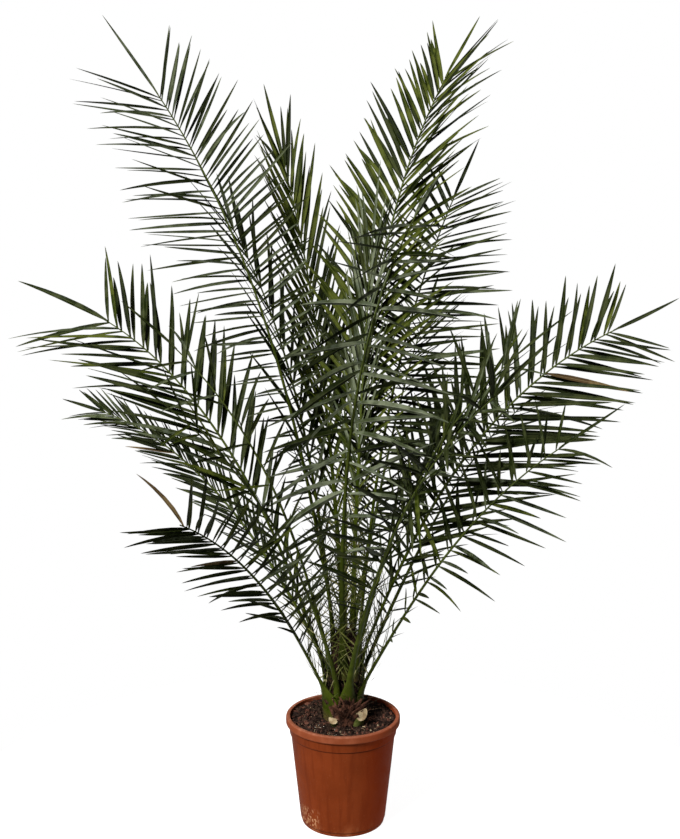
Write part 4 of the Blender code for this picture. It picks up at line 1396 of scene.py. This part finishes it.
chance = random.Random(7)
leaflets = {tint: [] for tint in TINTS}
for frond in FRONDS:
    foliage = FOLIAGE[frond.name]
    wander = foliage.wander
    count = LEAFLETS_PER_METRE * foliage.close
    count = round(count * frond.length * (1 - FIRST_LEAFLET))
    for k in range(count):
        for side in (-1, 1):
            paired = PAIR_CLOSENESS * (1 if k % 2 == 0 else -1)
            s = min((k + 0.5 + paired + side * RANK_SHIFT) / count, 1.0) ** TIP_CROWDING
            t = mix(FIRST_LEAFLET, LAST_LEAFLET, s)
            heading, normal, across = frond_frame(frond, t)
            raised = foliage.lift + LEAFLET_RAISES[k % 2] + 2 * chance.uniform(-wander, wander)
            opened = leaflet_angle(foliage, s, side) + chance.uniform(-wander, wander)
            length = leaflet_length(foliage, s) * chance.uniform(*LEAFLET_SIZES[0])
            outward = turned_towards(across * side, normal, raised)
            along = turned_towards(heading, outward, opened)
            along.z -= foliage.hang
            along.normalize()
            width = rib_size(frond, t)[0]
            root = at_part(paths[frond.name], t) + across * side * width * LEAFLET_SEAT
            tint = foliage.tint
            if chance.random() < STRAY_SHARE:
                tint = chance.choice(STRAYS[tint])
            if chance.random() < foliage.dry:
                tint = "straw"
            roll = LEAFLET_ROLL + chance.uniform(-ROLL_SPREAD, ROLL_SPREAD)
            sag = foliage.limp * chance.uniform(0.0, 1.0)
            sag *= LIMP_SAG if chance.random() < LIMP_SHARE else 1
            leaflets[tint].append(
                leaflet(root, along, normal, heading, length, foliage.broad, roll, sag, chance))
    heading, normal, across = frond_frame(frond, 1.0)
    root = at_part(paths[frond.name], LAST_LEAFLET)
    length = leaflet_length(foliage, 1.0) * TIP_LEAFLET
    last = leaflet(root, heading, normal, heading, length, foliage.broad, 0, TIP_SAG, chance)
    tint = foliage.tint
    if frond.name == DRY_TIP:
        tint = "straw"
        along = Vector(DRY_TIP_WAY).normalized()
        half = LEAFLET_WIDTH * DRY_TIP_BREADTH / 2
        last = last._replace(along=along, face=square_to(normal, along),
                             size=(half, DRY_TIP_LENGTH, half), bend=Vector(DRY_TIP_CURL))
    leaflets[tint].append(last)

for tint, blades in leaflets.items():
    piece = planted("leaflets_" + tint, leaflet_shape, blades, TINTS[tint])
    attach(piece, "root")
    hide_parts(*frond_names)

# --- Floor, light and camera -----------------------------------------------------------------
# A plain white studio: a floor disc, an even sky, and one large soft lamp from the upper left.

FLOOR_RADIUS = 1.1
FLOOR_TOP = -0.0005
FLOOR_UNDERSIDE = -0.0008
FLOOR_GLOW = 0.95
SKY_GLOW = (0.05, 0.31)         # from just under the horizon to high up
LAMP_STRENGTH = 6.2
LAMP_BREADTH = 14               # degrees, as seen from the plant
LAMP_TURN = (48, 0, -38)
CAMERA_PLACE = (-0.008, -3.0, 1.56)
CAMERA_DIP = 9.2                # degrees down from level
CAMERA_SENSOR = 36.0            # millimetres, as is the lens
CAMERA_LENS = 51.63

floor_mesh = turned_shell("studio_floor", [
    (0.0, FLOOR_TOP), (FLOOR_RADIUS, FLOOR_TOP), (FLOOR_RADIUS, FLOOR_UNDERSIDE),
    (0.0, FLOOR_UNDERSIDE),
], 96)
floor = put_in_scene("studio_floor", floor_mesh)
paper = Finish("white_paper", Specular_IOR_Level=0.0, Roughness=1.0, Emission_Strength=FLOOR_GLOW)
paper.paint("Base Color", paper.blend(paper.grain(3, 2), (0.25, 0.25, 0.25), (0.27, 0.27, 0.27)))
floor.data.materials.append(paper.material)

# The camera sees plain white. What lights the plant is dimmer, and fades towards the floor.
world = bpy.data.worlds.new("studio_sky")
bpy.context.scene.world = world
world.use_nodes = True
sky = Board(world.node_tree)
dome = world.node_tree.nodes["Background"]
way = sky.node("ShaderNodeTexCoord", output="Generated")
tilt = sky.node("ShaderNodeSeparateXYZ", None, {"Vector": way}, "Z")
glow = sky.node("ShaderNodeMapRange", None, {
    "Value": tilt, "From Min": -0.2, "From Max": 0.9, "To Min": SKY_GLOW[0],
    "To Max": SKY_GLOW[1],
})
seen = sky.node("ShaderNodeLightPath", output="Is Camera Ray")
world.node_tree.links.new((seen + (1 - seen) * glow).socket, dome.inputs["Strength"])
dome.inputs["Color"].default_value = (1.0, 1.0, 1.0, 1.0)

lamp = bpy.data.objects.new("key_lamp", bpy.data.lights.new("key_lamp", "SUN"))
bpy.context.scene.collection.objects.link(lamp)
lamp.data.energy = LAMP_STRENGTH
lamp.data.angle = math.radians(LAMP_BREADTH)
lamp.rotation_euler = [math.radians(turn) for turn in LAMP_TURN]

camera = bpy.data.objects.new("camera", bpy.data.cameras.new("camera"))
bpy.context.scene.collection.objects.link(camera)
camera.location = CAMERA_PLACE
camera.rotation_euler = (math.radians(90 - CAMERA_DIP), 0.0, 0.0)
camera.data.sensor_width = CAMERA_SENSOR
camera.data.lens = CAMERA_LENS
bpy.context.scene.camera = camera
bpy.context.scene.view_settings.view_transform = "Standard"
bpy.context.scene.view_settings.look = "None"

# The shapes that the pieces were grown from have done their work.
for scrap in (foot_shape, strip_shape, thread_shape, needle_shape, leaflet_shape,
              *flake.objects, *grain.objects, *rootlet.objects):
    bpy.data.objects.remove(scrap, do_unlink=True)
